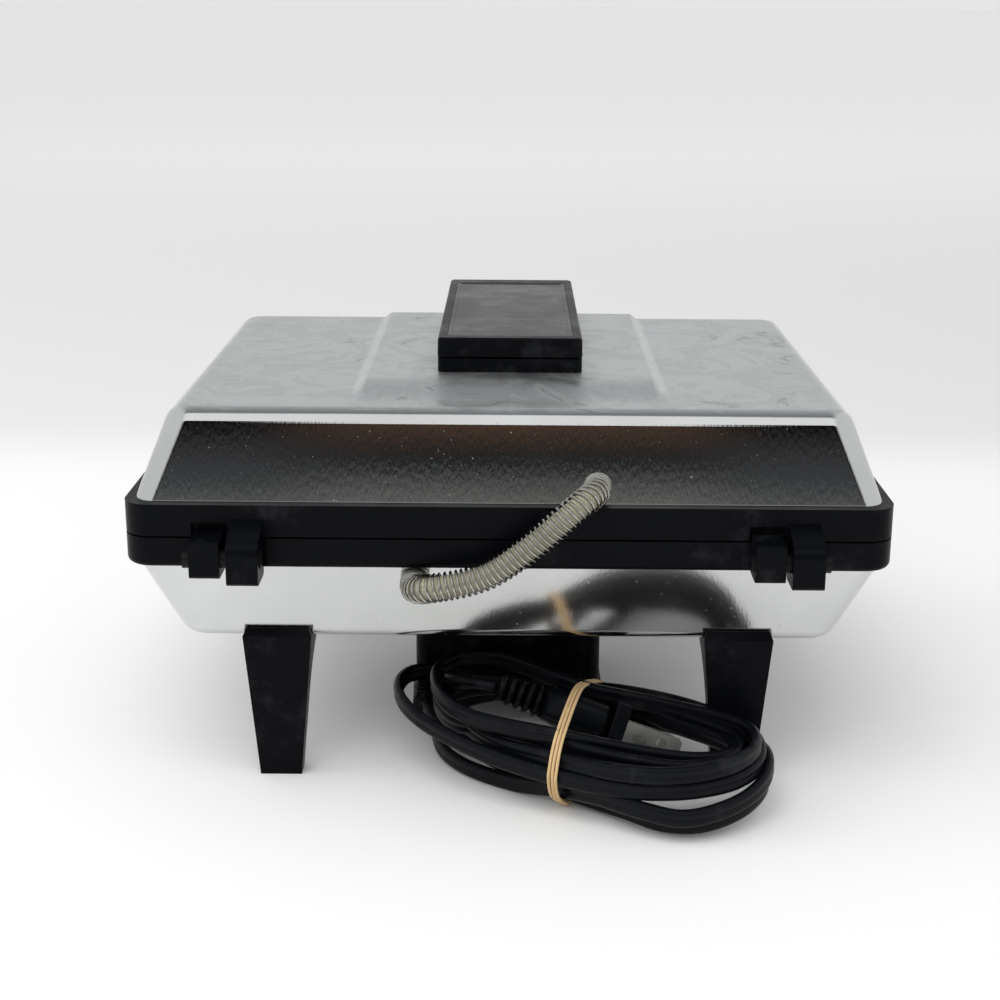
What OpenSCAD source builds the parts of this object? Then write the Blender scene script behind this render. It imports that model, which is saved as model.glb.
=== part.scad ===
// Two-slice sandwich toaster with a chrome lid hinged at the back.
// Frame: millimetres, Z up from the table, hinge side at +Y, front at -Y.

/* [Frame rings] */
// Width of the black frame rings, side to side
ring_w = 216; // [206:1:226]
// Depth of the frame rings, front to back
ring_d = 172; // [166:1:180]
// Corner radius of the rings, seen from above
ring_corner = 8; // [6:0.5:10]
// Height of the plane where the lid meets the base
split_z = 75.8; // [74:0.1:78]
// Gap between the closed rings
split_gap = 0.5; // [0.4:0.1:1]
// Height of the lid ring
lid_ring_h = 9.4; // [9:0.1:11]
// Height of the base ring
base_ring_h = 8.9; // [8.5:0.1:10]
// Width of the inner shelf that carries the cooking plate
ring_shelf = 12; // [11:0.5:13]

/* [Chrome shells] */
// Sheet thickness of the chrome shells
sheet = 0.9; // [0.8:0.1:1.2]
// Height of the lid shell above its ring
lid_rise = 24.8; // [23:0.1:27]
// Height of the base shell below its ring
base_drop = 25; // [23:0.1:27]
// Plan radius of the shell corners at the ring
shell_corner = 6.8; // [6:0.2:9]
// Plan radius of the shell corners where the wall meets the top
shell_top_corner = 11; // [10:0.2:14]
// Radius of the pressed edge between wall and top
shell_edge = 4.8; // [3:0.2:6]
// Height of the raised centre panel of the lid
panel_h = 2.6; // [2:0.1:3]
// Width of the raised centre panel
panel_w = 84; // [70:1:90]

/* [Handle] */
// Width of the handle block
handle_w = 43.6; // [40:0.1:48]
// Length of the handle block, front to back
handle_l = 112.6; // [100:0.1:116]
// Height of the handle block
handle_h = 10.4; // [9:0.1:12]

/* [Hinges] */
// Distance of the hinge axis behind the rings
hinge_back = 6.5; // [6.5:0.1:7]
// Distance of the hinge axis below the split plane
hinge_drop = 4.1; // [4:0.1:4.5]
// Diameter of the hinge pins
hinge_pin_d = 5.2; // [4:0.1:5.4]
// Radial running clearance of the pins in the lid knuckles
pin_play = 0.05; // [0.03:0.01:0.1]

/* [Cooking plates] */
// Thickness of each cooking plate
plate_h = 15; // [14:0.5:16]
// Depth of the triangular pockets
pocket_depth = 10.5; // [9:0.5:11]
// Diameter of the tubular heating elements
heater_d = 6.4; // [6:0.1:7]

/* [Legs] */
// Width of a leg at its top
leg_top_w = 19.9; // [18:0.1:22]
// Width of a leg where it stands
leg_foot_w = 12.1; // [11:0.1:14]
// Distance of each leg from the middle, sideways
leg_x = 66.6; // [60:0.1:68]
// Depth of a leg where it carries the base, front to back
leg_depth = 26; // [23:0.5:27]
// Depth of a leg further down, where it is slender
leg_slim = 8; // [7:0.5:10]

/* [Wiring box] */
// Width of the wiring box under the base
box_w = 58; // [54:1:62]
// Length of the wiring box, front to back
box_l = 60; // [50:1:64]
// Height of the underside of the wiring box above the table
box_floor = 7.5; // [6:0.1:9]

/* [Armoured lead] */
// Outer diameter of the coiled wire armour
armour_d = 7; // [6.8:0.1:7.2]
// Thickness of the armour wire
armour_wire = 0.7; // [0.6:0.05:0.8]
// Distance between neighbouring turns of the armour
armour_pitch = 1.6; // [1.4:0.1:2.5]
// Diameter of the woven sleeve inside the armour
sleeve_d = 5.2; // [4.6:0.1:5.3]

/* [Mains cord] */
// Wide side of the flat two-core cord
cord_wide = 6.4; // [5.6:0.1:6.8]
// Height of the tied cord hank
hank_h = 25.8; // [24:0.1:27]

/* [Hidden] */

$fn = 48;
cut = 1;

// Places of the rings; the hinge hooks reach out behind them
hook_reach = 12;
rear_y = (ring_d - hook_reach) / 2;
ring_y = rear_y - ring_d / 2;
lid_ring_z = split_z + split_gap / 2;
lid_ring_top = split_z + lid_ring_h;
base_ring_z = split_z - base_ring_h;
base_ring_top = split_z - split_gap / 2;
lid_top = lid_ring_top + lid_rise;
panel_top = lid_top + panel_h;
base_bottom = base_ring_z - base_drop;

// Chrome shells: lean of their side and end walls, and how far they reach into the rings
lid_lean = [0.379, 0.317];
base_lean = [0.455, 0.328];
shell_sink = 3;
shell_w = ring_w - 5.6;
shell_d = ring_d - 6.8;

// Cooking plates
plate_w = ring_w - 2 * ring_shelf - 2;
plate_d = ring_d - 2 * ring_shelf - 2;
flange = 5;
flange_h = 2;
flange_play = 0.5;
flange_seat_w = plate_w + 2 * flange + flange_play;
flange_seat_d = plate_d + 2 * flange + flange_play;
seat_play = 0.1;
plate_gap = 1;
lid_plate_z = split_z + plate_gap / 2;
base_plate_z = split_z - plate_gap / 2;
plate_screw_x = plate_w / 2 + flange / 2 + 0.1;
plate_screw_y = plate_d / 2 - 20;
plate_screw_places = [for (x = [-1, 1], y = [-1, 1]) [x * plate_screw_x, y * plate_screw_y, 0]];
plate_screw_d = 3;
plate_screw_head_d = 4.6;
plate_screw_head = 1;
plate_screw_l = 5;

// Hinge geometry
hinge_y = rear_y + hinge_back;
hinge_z = split_z - hinge_drop;
block_w = 8.4;
hook_w = 8.8;
hinge_sets = [
  // block centre, hook centre, left end of the pin, right end of the pin
  [-71.9, -82.1, -88.7, -67.3],
  [83.4, 72.7, 68, 89.7]
];

// Legs stand a little in from the edge of the rings; their tops are saddles on the base shell
leg_set_back = 8;
leg_shoulder = base_bottom + 1.4;
leg_saddle = base_bottom + 3.6;
leg_screw_in = 20;
leg_screw_d = 4;
leg_screw_l = 7;

// Handle
handle_back = rear_y - 50.2;
handle_y = handle_back - handle_l / 2;
handle_groove = 0.6;
handle_corner = 2;
cap_h = 5.7;
label_w = 38;
label_l = 100.6;
label_y = handle_y + 1.7;
label_depth = 0.5;

// Wiring box
box_back = rear_y - 50;
box_y = box_back - box_l / 2;
box_wall = 2;
box_cover_h = 2;
box_screw_d = 3.2;
box_screw_ys = [box_y - box_l / 2 + 6, box_y + box_l / 2 - 6];

// Armoured lead: centre line from the base shell round the rings to the lid shell
base_port = [28.3, 74.9, 62];
lid_port = [-25.2, 75.6, 90.2];
armour_route = [
  [28.3, 71.1, 62], [28.3, 74.5, 62], [28.2, 78, 61.8], [26.6, 83.3, 62.2], [23, 86.7, 63.2],
  [18, 88.1, 64.8], [6.3, 88.4, 68.3], [-1.3, 88.4, 72.4], [-8.9, 88.4, 78], [-15.6, 87.9, 84.2],
  [-20.8, 85.1, 88.2], [-24, 80.8, 89.9], [-25.2, 75.4, 90.2], [-25.4, 72, 90.2]
];
armour_side = [0.5, 0, 0.866];

// Mains cord: routes are chosen by hand and rest on the table
cord_r = cord_wide / 2 - 0.6;
relief_at = [25.5, 30, 14];
relief_l = 20;
relief_d = 7.6;
lead_route = [[25.5, 50, 14], [25.5, 52, 14], [25.5, 54, 14], [25.5, 56, 14]];
tail_route = [[16.2, 46.1, 17.6], [11, 47.1, 18], [4.6, 51.5, 18]];
hank_z = 1.2;
hank_ends = [[7, 59.5], [-49, 97]];
hank_r = 25;
hank_slot_ends = [[3.7, 54.5], [-52.3, 92]];
hank_slot_r = 15;

// Plug lies in the middle of the hank
plug_at = [4.6, 51.5, 18];
plug_turn = 146;

function lerp(a, b, t) = a + (b - a) * t;
function unit(v) = v / norm(v);

// Catmull-Rom curve through hand-placed points
function clamp_at(p, i) = p[max(0, min(len(p) - 1, i))];
function curve(p, i, t) =
  let(a = clamp_at(p, i - 1), b = clamp_at(p, i), c = clamp_at(p, i + 1), d = clamp_at(p, i + 2))
  0.5 * (2 * b + (c - a) * t + (2 * a - 5 * b + 4 * c - d) * t * t
    + (3 * b - a - 3 * c + d) * t * t * t);
function smooth(p, steps) = concat(
  [for (i = [0 : len(p) - 2], s = [0 : steps - 1]) curve(p, i, s / steps)],
  [p[len(p) - 1]]
);
function heading(p, i) = unit(clamp_at(p, i + 1) - clamp_at(p, i - 1));

// Distance run along a route at each of its points
function run(p) = [
  for (i = 0, s = 0; i < len(p); i = i + 1, s = s + norm(clamp_at(p, i) - clamp_at(p, i - 1))) s
];

// Rounded rectangle as one ring of points, going round its four corners
function outline(half_w, half_d, r, z) = [
  for (q = [0 : 3], i = [0 : 6])
    let(a = 90 * (q + i / 6), side = [[1, 1], [-1, 1], [-1, -1], [1, -1]][q])
    [side[0] * (half_w - r) + r * cos(a), side[1] * (half_d - r) + r * sin(a), z]
];

// How far the pressed edge of a shell runs in from its leaning wall
function edge_run(edge, tilt) = edge * tan((90 - tilt) / 2);

// Drawn shell as stacked rings, from its skirt in the frame ring (z = 0 at the face of the ring) to its
// flat top. Its corners open out as the wall rises; spare is how far its surface lies inside the outer one.
function shell_rings(rise, lean, spare) =
  let(
    h = rise - spare,
    edge = shell_edge - spare,
    tilt = atan(lean[0]),
    half_w = shell_w / 2 - spare,
    half_d = shell_d / 2 - spare,
    mouth = spare > 0 ? shell_sink + cut : shell_sink,
    steps = 6
  )
  concat(
    [for (z = [-mouth, 0]) outline(half_w, half_d, shell_corner - spare, z)],
    [for (i = [0 : steps])
      let(
        t = lerp(tilt, 90, i / steps),
        z = h - edge + edge * sin(t),
        bend = lean[0] * (h - z) + edge_run(edge, tilt) - edge * cos(t),
        corner = lerp(shell_corner, shell_top_corner, z / h) - spare - bend
      )
      outline(half_w - lean[0] * z - bend, half_d - lean[1] * z - bend, corner, z)]
  );

// Wall line of a moulded block: leaning wall, rounded edge, flat top
function wall_line(corner, h, lean, edge) =
  let(
    tilt = atan(lean),
    shoulder = corner - h * lean - edge_run(edge, tilt),
    steps = 7
  )
  concat(
    [[0, 0], [corner, 0]],
    [for (i = [0 : steps])
      let(a = lerp(tilt, 90, i / steps))
      [shoulder + edge * cos(a), h - edge + edge * sin(a)]],
    [[0, h]]
  );

module rounded_rect(w, d, r) {
  square([w - 2 * r, d], center = true);
  square([w, d - 2 * r], center = true);
  for (x = [-1, 1], y = [-1, 1]) translate([x * (w / 2 - r), y * (d / 2 - r)]) circle(r);
}

module slab(w, d, r, h) {
  linear_extrude(h) rounded_rect(w, d, r);
}

// Block with leaning walls and one rounded edge, standing on its wide side
module draft_block(w, d, h, corner, lean, edge) {
  outline = wall_line(corner, h, lean, edge);
  half_w = w / 2 - corner;
  half_d = d / 2 - corner;
  for (turn = [0 : 3]) {
    across = turn % 2 == 0 ? half_w : half_d;
    along = turn % 2 == 0 ? half_d : half_w;
    rotate(turn * 90) {
      translate([across, along, 0]) rotate_extrude(angle = 90, $fn = 96) polygon(outline);
      translate([across, along, 0]) rotate([90, 0, 0]) linear_extrude(2 * along) polygon(outline);
    }
  }
  translate([-half_w, -half_d, 0]) cube([2 * half_w, 2 * half_d, h]);
}

// Extrudes a side view, drawn with Y to the right and Z up, along X
module along_x(from, to) {
  translate([from, 0, 0]) rotate([90, 0, 90]) linear_extrude(to - from) children();
}

// Round bar along X through the hinge axis
module hinge_bar(from, to, r) {
  translate([from, hinge_y, hinge_z]) rotate([0, 90, 0]) cylinder(h = to - from, r = r);
}

// Solid skinned over rings of points; seen from its last ring, each ring runs anticlockwise
module swept(rings) {
  sides = len(rings[0]);
  last = len(rings) - 1;
  faces = concat(
    [[for (s = [0 : sides - 1]) s]],
    [for (i = [0 : last - 1], s = [0 : sides - 1])
      let(low = i * sides, high = low + sides, next = (s + 1) % sides)
      [low + s, high + s, high + next, low + next]],
    [[for (s = [sides - 1 : -1 : 0]) last * sides + s]]
  );
  polyhedron(points = [for (r = rings, p = r) p], faces = faces, convexity = 10);
}

function tube_rings(p, r, sides, side) = [
  for (i = [0 : len(p) - 1])
    let(t = heading(p, i), u = unit(cross(t, side)), v = cross(t, u))
    [for (s = [0 : sides - 1]) p[i] + r * (cos(360 * s / sides) * u + sin(360 * s / sides) * v)]
];

// Screw with a pan head; the tip points down
module screw(d, l, head_d, head_h) {
  slot_w = 0.8;
  translate([0, 0, -l]) cylinder(h = l, d = d, $fn = 24);
  difference() {
    cylinder(h = head_h, d = head_d, $fn = 24);
    for (a = [0, 90]) rotate(a)
      translate([-head_d / 3, -slot_w / 2, head_h / 2]) cube([head_d * 2 / 3, slot_w, head_h]);
  }
}

/* Lid */

module lid_drawn(spare) {
  translate([0, ring_y, lid_ring_top]) swept(shell_rings(lid_rise, lid_lean, spare));
}

// Raised centre panel, running from the front edge and dying away before the back edge
module lid_panel() {
  step = 4.5;
  fade = 12;
  base = panel_w / 2 + step;
  top = panel_w / 2;
  flat = shell_d / 2 - lid_rise * lid_lean[1] - edge_run(shell_edge, atan(lid_lean[0]));
  front = ring_y - flat;
  back = ring_y + flat - 6;
  low = lid_top - sheet - 1;
  intersection() {
    translate([0, back, 0]) rotate([90, 0, 0]) linear_extrude(back - front)
      polygon([
        [-base, low], [base, low], [base, lid_top],
        [top, panel_top], [-top, panel_top], [-base, lid_top]
      ]);
    along_x(-base - cut, base + cut)
      polygon([
        [front, low], [back, low], [back, lid_top],
        [back - fade, panel_top], [front + step, panel_top], [front, lid_top]
      ]);
  }
}

module lid_shell() {
  color("#c9cccd") difference() {
    union() {
      lid_drawn(0);
      lid_panel();
    }
    lid_drawn(sheet);
    translate([0, 0, -sheet]) lid_panel();
    translate(lid_port + [0, -6, 0]) rotate([-90, 0, 0]) cylinder(h = 12, d = bush_d);
    for (y = handle_screw_ys) translate([0, y, lid_top - 3]) cylinder(h = 8, d = handle_screw_d);
  }
}

handle_screw_d = 4;
handle_screw_ys = [handle_y - 38, handle_y + 38];
bush_d = 8.6;

// Side view of the curved hook that reaches from the lid ring down behind the base ring
module hook_side() {
  heel = hinge_z - 6.2;
  back = rear_y + hook_reach;
  crown = 4;
  polygon(concat(
    [[rear_y - 1, lid_ring_z + 0.2], [rear_y + 0.6, lid_ring_z + 0.2], [rear_y + 0.6, heel + 1],
      [rear_y + 1.6, heel], [back - 0.8, heel], [back, heel + 0.8]],
    [for (a = [0 : 15 : 75]) [back - crown + crown * cos(a), hinge_z + 2.4 + crown * sin(a)]],
    [[rear_y - 1, lid_ring_top - 3.7]]
  ));
}

// Side view of the short block that the base ring carries
module block_side() {
  back = rear_y + 10;
  polygon([
    [rear_y - 1, base_ring_z + 0.4], [rear_y + 1, base_ring_z], [back - 0.7, base_ring_z],
    [back, base_ring_z + 0.7], [back, split_z + 0.6], [back - 1, split_z + 1.4], [rear_y - 1, split_z + 1.8]
  ]);
}

// Rebate in the face of a ring that the skirt of a shell drops into
module shell_seat() {
  slab(shell_w + 2 * seat_play, shell_d + 2 * seat_play, shell_corner + seat_play, shell_sink + cut);
}

module lid_frame() {
  color("#15171a") difference() {
    union() {
      translate([0, ring_y, lid_ring_z]) slab(ring_w, ring_d, ring_corner, lid_ring_top - lid_ring_z);
      for (h = hinge_sets) along_x(h[1] - hook_w / 2, h[1] + hook_w / 2) hook_side();
    }
    // opening for the plate and the recess for its flange
    translate([0, ring_y, lid_ring_z - cut])
      slab(ring_w - 2 * ring_shelf, ring_d - 2 * ring_shelf, ring_corner, lid_ring_h + 2 * cut);
    translate([0, ring_y, lid_ring_z - cut])
      slab(flange_seat_w, flange_seat_d, ring_corner, lid_plate_z + flange_h - lid_ring_z + cut);
    // seat for the chrome shell
    translate([0, ring_y, lid_ring_top - shell_sink]) shell_seat();
    // clearance over the hinge blocks, and the knuckle bores
    for (h = hinge_sets) {
      hinge_bar(h[0] - block_w / 2 - 0.7, h[0] + block_w / 2 + 0.7, 9.3);
      along_x(h[0] - block_w / 2 - 0.7, h[0] + block_w / 2 + 0.7)
        translate([rear_y - 2, lid_ring_z - cut]) square([3, 5]);
      hinge_bar(h[1] - hook_w / 2 - cut, h[1] + hook_w / 2 + cut, hinge_pin_d / 2 + pin_play);
    }
    // holes for the plate screws
    for (p = plate_screw_places) translate(p + [0, ring_y, lid_ring_z])
      cylinder(h = 7, d = plate_screw_d, $fn = 24);
  }
}

// Cooking surface: four triangular pockets, two to each slice of bread
module pockets() {
  well_w = 86;
  well_d = 128;
  seam = 5;
  for (x = [-1, 1], half = [0, 180])
    translate([x * (well_w / 2 + seam / 2), 0, -pocket_depth]) rotate(half) pocket(well_w / 2, well_d / 2, x);
}

// One triangular pocket with leaning walls; lean is the side to which the diagonal falls
module pocket(a, b, side) {
  floor_in = 6;
  ridge = 2.4;
  mirror([side > 0 ? 0 : 1, 0, 0]) hull() {
    linear_extrude(0.1)
      polygon([
        [-a + floor_in, b - 1.25 * floor_in], [-a + floor_in, -b + 3.2 * floor_in],
        [a - 2.4 * floor_in, b - 1.25 * floor_in]
      ]);
    translate([0, 0, pocket_depth + cut]) linear_extrude(0.1)
      polygon([
        [-a, b - 3], [-a + 3, b], [a - 2 * ridge, b],
        [a - 2.5 * ridge, b - ridge], [-a, -b + 3.2 * ridge]
      ]);
  }
}

// Cooking plate lying with its pockets up and its rim at z = 0
module plate_body() {
  difference() {
    union() {
      translate([0, 0, -plate_h]) slab(plate_w, plate_d, 6, plate_h);
      translate([0, 0, -flange_h])
        slab(plate_w + 2 * flange, plate_d + 2 * flange, ring_corner - 1, flange_h);
    }
    pockets();
    for (p = plate_screw_places) translate(p) {
      translate([0, 0, -flange_h - cut]) cylinder(h = flange_h + 2 * cut, d = plate_screw_d, $fn = 24);
      translate([0, 0, -plate_screw_head])
        cylinder(h = cut + plate_screw_head, d = plate_screw_head_d, $fn = 24);
    }
  }
}

module lid_plate() {
  color("#2b2c2e") translate([0, ring_y, lid_plate_z]) mirror([0, 0, 1]) plate_body();
}

module plate_screws(z, flip) {
  slot = [4, 0.6];
  for (p = plate_screw_places) translate(p + [0, ring_y, z])
    mirror([0, 0, flip]) translate([0, 0, -plate_screw_head]) {
      translate([0, 0, -plate_screw_l]) cylinder(h = plate_screw_l, d = plate_screw_d, $fn = 24);
      difference() {
        cylinder(h = plate_screw_head, d = plate_screw_head_d, $fn = 24);
        translate([-slot[0] / 2, -slot[1] / 2, plate_screw_head / 2])
          cube([slot[0], slot[1], plate_screw_head]);
      }
    }
}

module lid_plate_screws() {
  color("#9a9c9e") plate_screws(lid_plate_z, 1);
}

module heater_bend(bend, r) {
  rotate_extrude(angle = 90) translate([bend, 0]) circle(r);
}

// Heating element bent as a rounded loop, open at the back
module heater(z) {
  loop_w = 150;
  loop_d = 92;
  bend = 26;
  gap = 34;
  r = heater_d / 2;
  half_w = loop_w / 2 - bend;
  half_d = loop_d / 2 - bend;
  translate([0, ring_y, z]) {
    for (x = [-1, 1]) {
      translate([x * loop_w / 2, half_d, 0]) rotate([90, 0, 0]) cylinder(h = 2 * half_d, r = r);
      translate([x * half_w, -half_d, 0]) rotate(x > 0 ? -90 : 180) heater_bend(bend, r);
      translate([x * half_w, half_d, 0]) rotate(x > 0 ? 0 : 90) heater_bend(bend, r);
      translate([x * half_w, loop_d / 2, 0]) rotate([0, -x * 90, 0]) cylinder(h = half_w - gap / 2, r = r);
      translate([x * gap / 2, loop_d / 2, 0]) rotate([0, -x * 90, 0]) cylinder(h = 9, r = 1.6, $fn = 24);
    }
    translate([-half_w, -loop_d / 2, 0]) rotate([0, 90, 0]) cylinder(h = 2 * half_w, r = r);
  }
}

lid_heater_z = lid_plate_z + plate_h + heater_d / 2;
base_heater_z = base_plate_z - plate_h - heater_d / 2;

// Straps that hold a heating element against the back of its plate
module heater_clips(z, flip) {
  strap_t = 1.2;
  for (x = [-75, 75]) translate([x, ring_y, z]) mirror([0, 0, flip]) difference() {
    translate([-14, -6, -heater_d / 2]) cube([28, 12, heater_d + strap_t]);
    translate([0, -7, 0]) rotate([-90, 0, 0]) cylinder(h = 14, r = heater_d / 2);
    translate([-heater_d / 2, -7, -heater_d / 2 - cut]) cube([heater_d, 14, heater_d / 2 + cut]);
    for (s = [-1, 1]) translate([s * 10 - 4.5, -7, -heater_d / 2 + 1.2]) cube([9, 14, heater_d + 3]);
  }
}

module lid_heater() {
  color("#6f6a62") heater(lid_heater_z);
}

module lid_heater_clips() {
  color("#a9abad") heater_clips(lid_heater_z, 0);
}

module thermal_fuse() {
  fuse_d = 4.2;
  fuse_l = 24;
  color("#d9c9a4") translate([-fuse_l / 2, ring_y + 18, lid_plate_z + plate_h + fuse_d / 2])
    rotate([0, 90, 0]) cylinder(h = fuse_l, d = fuse_d);
}

module handle_base() {
  side_notch = 3;
  color("#15171a") difference() {
    translate([0, handle_y, panel_top])
      slab(handle_w - 0.2, handle_l - 0.2, handle_corner, handle_h - cap_h - handle_groove);
    for (x = [-1, 1]) translate([x * handle_w / 2, handle_back - 14, panel_top + 1])
      cube([2 * side_notch, 8, 20], center = true);
    for (y = handle_screw_ys) translate([0, y, panel_top - cut]) cylinder(h = 12, d = handle_screw_d);
  }
  color("#15171a") translate([0, handle_y, panel_top + handle_h - cap_h - handle_groove]) difference() {
    slab(handle_w - 5, handle_l - 5, handle_corner, handle_groove);
    for (y = handle_screw_ys) translate([0, y - handle_y, -cut]) cylinder(h = 12, d = handle_screw_d);
  }
}

module handle_cap() {
  color("#15171a") translate([0, handle_y, panel_top + handle_h - cap_h]) difference() {
    draft_block(handle_w, handle_l, cap_h, handle_corner, 0.02, 0.9);
    translate([0, label_y - handle_y, cap_h - label_depth]) slab(label_w, label_l, 1, cut);
    for (y = handle_screw_ys) translate([0, y - handle_y, -cut]) cylinder(h = cut + 3.5, d = handle_screw_d);
  }
}

module handle_label() {
  border = 1.2;
  outer = [label_w - 0.2, label_l - 0.2];
  color("#202328") translate([0, label_y, panel_top + handle_h - label_depth]) difference() {
    slab(outer[0], outer[1], 1, 0.4);
    translate([0, 0, 0.25]) slab(outer[0] - 2 * border, outer[1] - 2 * border, 0.6, cut);
  }
}

// Screws driven up from inside the lid shell into the handle
module handle_screws() {
  color("#9a9c9e") for (y = handle_screw_ys) translate([0, y, panel_top - sheet]) mirror([0, 0, 1])
    screw(handle_screw_d, handle_h - cap_h + 4.2, 8, 2.2);
}

/* Base */

module base_drawn(spare) {
  translate([0, ring_y, base_ring_z]) mirror([0, 0, 1]) swept(shell_rings(base_drop, base_lean, spare));
}

module base_shell() {
  color("#c9cccd") difference() {
    base_drawn(0);
    base_drawn(sheet);
    translate(base_port + [0, -6, 0]) rotate([-90, 0, 0]) cylinder(h = 12, d = bush_d);
    for (p = leg_screw_places) translate(p + [0, 0, base_bottom - cut]) cylinder(h = 4, d = leg_screw_d);
    translate([0, box_y, base_bottom - cut]) box_window(4);
    for (y = box_screw_ys) translate([0, y, base_bottom - cut]) cylinder(h = 4, d = box_screw_d, $fn = 24);
  }
}

module base_frame() {
  edge = 2;
  color("#15171a") difference() {
    union() {
      translate([0, ring_y, base_ring_z + edge])
        slab(ring_w, ring_d, ring_corner, base_ring_top - base_ring_z - edge);
      translate([0, ring_y, base_ring_z + edge]) mirror([0, 0, 1])
        draft_block(ring_w, ring_d, edge, ring_corner, 0.02, edge - 0.2);
      for (h = hinge_sets) along_x(h[0] - block_w / 2, h[0] + block_w / 2) block_side();
    }
    translate([0, ring_y, base_ring_z - cut])
      slab(ring_w - 2 * ring_shelf, ring_d - 2 * ring_shelf, ring_corner, base_ring_h + 2 * cut);
    translate([0, ring_y, base_plate_z - flange_h]) slab(flange_seat_w, flange_seat_d, ring_corner, 4);
    translate([0, ring_y, base_ring_z - cut]) shell_seat();
    // clearance for the hooks as the lid swings, and the pin bores
    for (h = hinge_sets) {
      hinge_bar(h[1] - hook_w / 2 - 0.7, h[1] + hook_w / 2 + 0.7, 9);
      hinge_bar(h[0] - block_w / 2 - cut, h[0] + block_w / 2 + cut, hinge_pin_d / 2);
    }
    for (p = plate_screw_places) translate(p + [0, ring_y, base_plate_z - 6])
      cylinder(h = 7, d = plate_screw_d, $fn = 24);
  }
}

module base_plate() {
  color("#2b2c2e") translate([0, ring_y, base_plate_z]) plate_body();
}

module base_plate_screws() {
  color("#9a9c9e") plate_screws(base_plate_z, 0);
}

module base_heater() {
  color("#6f6a62") heater(base_heater_z);
}

module base_heater_clips() {
  color("#a9abad") heater_clips(base_heater_z, 1);
}

module thermostat() {
  color("#c9b79a") translate([30, ring_y + 8, base_plate_z - plate_h]) mirror([0, 0, 1]) {
    cylinder(h = 7, d = 16);
    translate([-12, -2.5, 1]) cube([24, 5, 1]);
    for (x = [-5, 5]) translate([x - 0.4, -2, 7]) cube([0.8, 4, 5]);
  }
}

module hinge_pin_left() {
  color("#1c1e21") hinge_bar(hinge_sets[0][2], hinge_sets[0][3], hinge_pin_d / 2);
}

module hinge_pin_right() {
  color("#1c1e21") hinge_bar(hinge_sets[1][2], hinge_sets[1][3], hinge_pin_d / 2);
}

leg_places = [for (y = [-1, 1], x = [-1, 1]) [x * leg_x, ring_y + y * (ring_d / 2 - leg_set_back), 0]];
leg_screw_places = [for (y = [-1, 1], x = [-1, 1]) [x * leg_x, ring_y + y * (ring_d / 2 - leg_screw_in), 0]];

// Tapered leg with its outer face at y = 0. It sweeps out inwards, under the shell, to take the screw,
// and its outer edge stands up a little round the shell
module leg(place, facing) {
  lip = 2.2;
  sweep = [leg_depth - leg_slim, 16];
  sweep_z = base_bottom - lip - sweep[1];
  color("#15171a") difference() {
    translate(place) mirror([0, facing > 0 ? 0 : 1, 0]) intersection() {
      translate([0, cut, 0]) rotate([90, 0, 0]) linear_extrude(leg_depth + 2 * cut)
        polygon([
          [-leg_foot_w / 2, 0], [leg_foot_w / 2, 0], [leg_top_w / 2, leg_shoulder],
          [leg_top_w / 2 - 1, leg_saddle], [-leg_top_w / 2 + 1, leg_saddle], [-leg_top_w / 2, leg_shoulder]
        ]);
      along_x(-leg_top_w, leg_top_w)
        polygon(concat(
          [[-leg_slim + 1, 0], [-0.5, 0], [0, leg_shoulder], [-1.7, leg_saddle], [-leg_depth, leg_saddle]],
          [for (a = [90 : -15 : 0]) [-leg_depth + sweep[0] * cos(a), sweep_z + sweep[1] * sin(a)]]
        ));
    }
    base_drawn(0);
    for (p = leg_screw_places) translate(p + [0, 0, base_bottom - leg_screw_l])
      cylinder(h = 16, d = leg_screw_d);
  }
}

module front_leg_left() {
  leg(leg_places[0], -1);
}

module front_leg_right() {
  leg(leg_places[1], -1);
}

module rear_leg_left() {
  leg(leg_places[2], 1);
}

module rear_leg_right() {
  leg(leg_places[3], 1);
}

module leg_screws() {
  color("#9a9c9e") for (p = leg_screw_places) translate(p + [0, 0, base_bottom + sheet])
    screw(leg_screw_d, leg_screw_l, 8, 2.2);
}

// Window between the wiring box and the base shell, for the wires
module box_window(h) {
  slab(30, 34, 3, h);
}

module wiring_box() {
  inside_w = box_w - 2 * box_wall;
  inside_l = box_l - 2 * box_wall;
  color("#101214") difference() {
    translate([0, box_y, box_floor + box_cover_h])
      slab(box_w, box_l, 4, base_bottom - box_floor - box_cover_h);
    translate([0, box_y, box_floor]) slab(inside_w, inside_l, 3, base_bottom - box_floor - box_wall);
    translate([0, box_y, base_bottom - 2 * box_wall]) box_window(8);
    translate(relief_at + [0, -4, 0]) rotate([-90, 0, 0]) cylinder(h = 8, d = 6);
    for (y = box_screw_ys) translate([0, y, base_bottom - box_wall - cut])
      cylinder(h = 4, d = box_screw_d, $fn = 24);
  }
}

module wiring_cover() {
  lip = 1;
  color("#101214") difference() {
    translate([0, box_y, box_floor]) slab(box_w + 2 * lip, box_l + 2 * lip, 5, box_cover_h);
    for (y = box_screw_ys) translate([0, y, box_floor - cut]) cylinder(h = 5, d = box_screw_d, $fn = 24);
  }
}

module wiring_cover_screws() {
  color("#9a9c9e") for (y = box_screw_ys) translate([0, y, box_floor]) mirror([0, 0, 1])
    screw(box_screw_d, base_bottom - box_floor + sheet - 0.2, 6.4, 1.8);
}

module terminal_block() {
  color("#e6e2d6") translate([0, box_y, box_floor + box_cover_h]) difference() {
    translate([-16, -8, 0]) cube([32, 16, 11]);
    for (x = [-10, 0, 10]) translate([x, 0, 5.5]) {
      rotate([90, 0, 0]) cylinder(h = 20, d = 4, center = true);
      cylinder(h = 8, d = 4);
    }
  }
}

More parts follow.
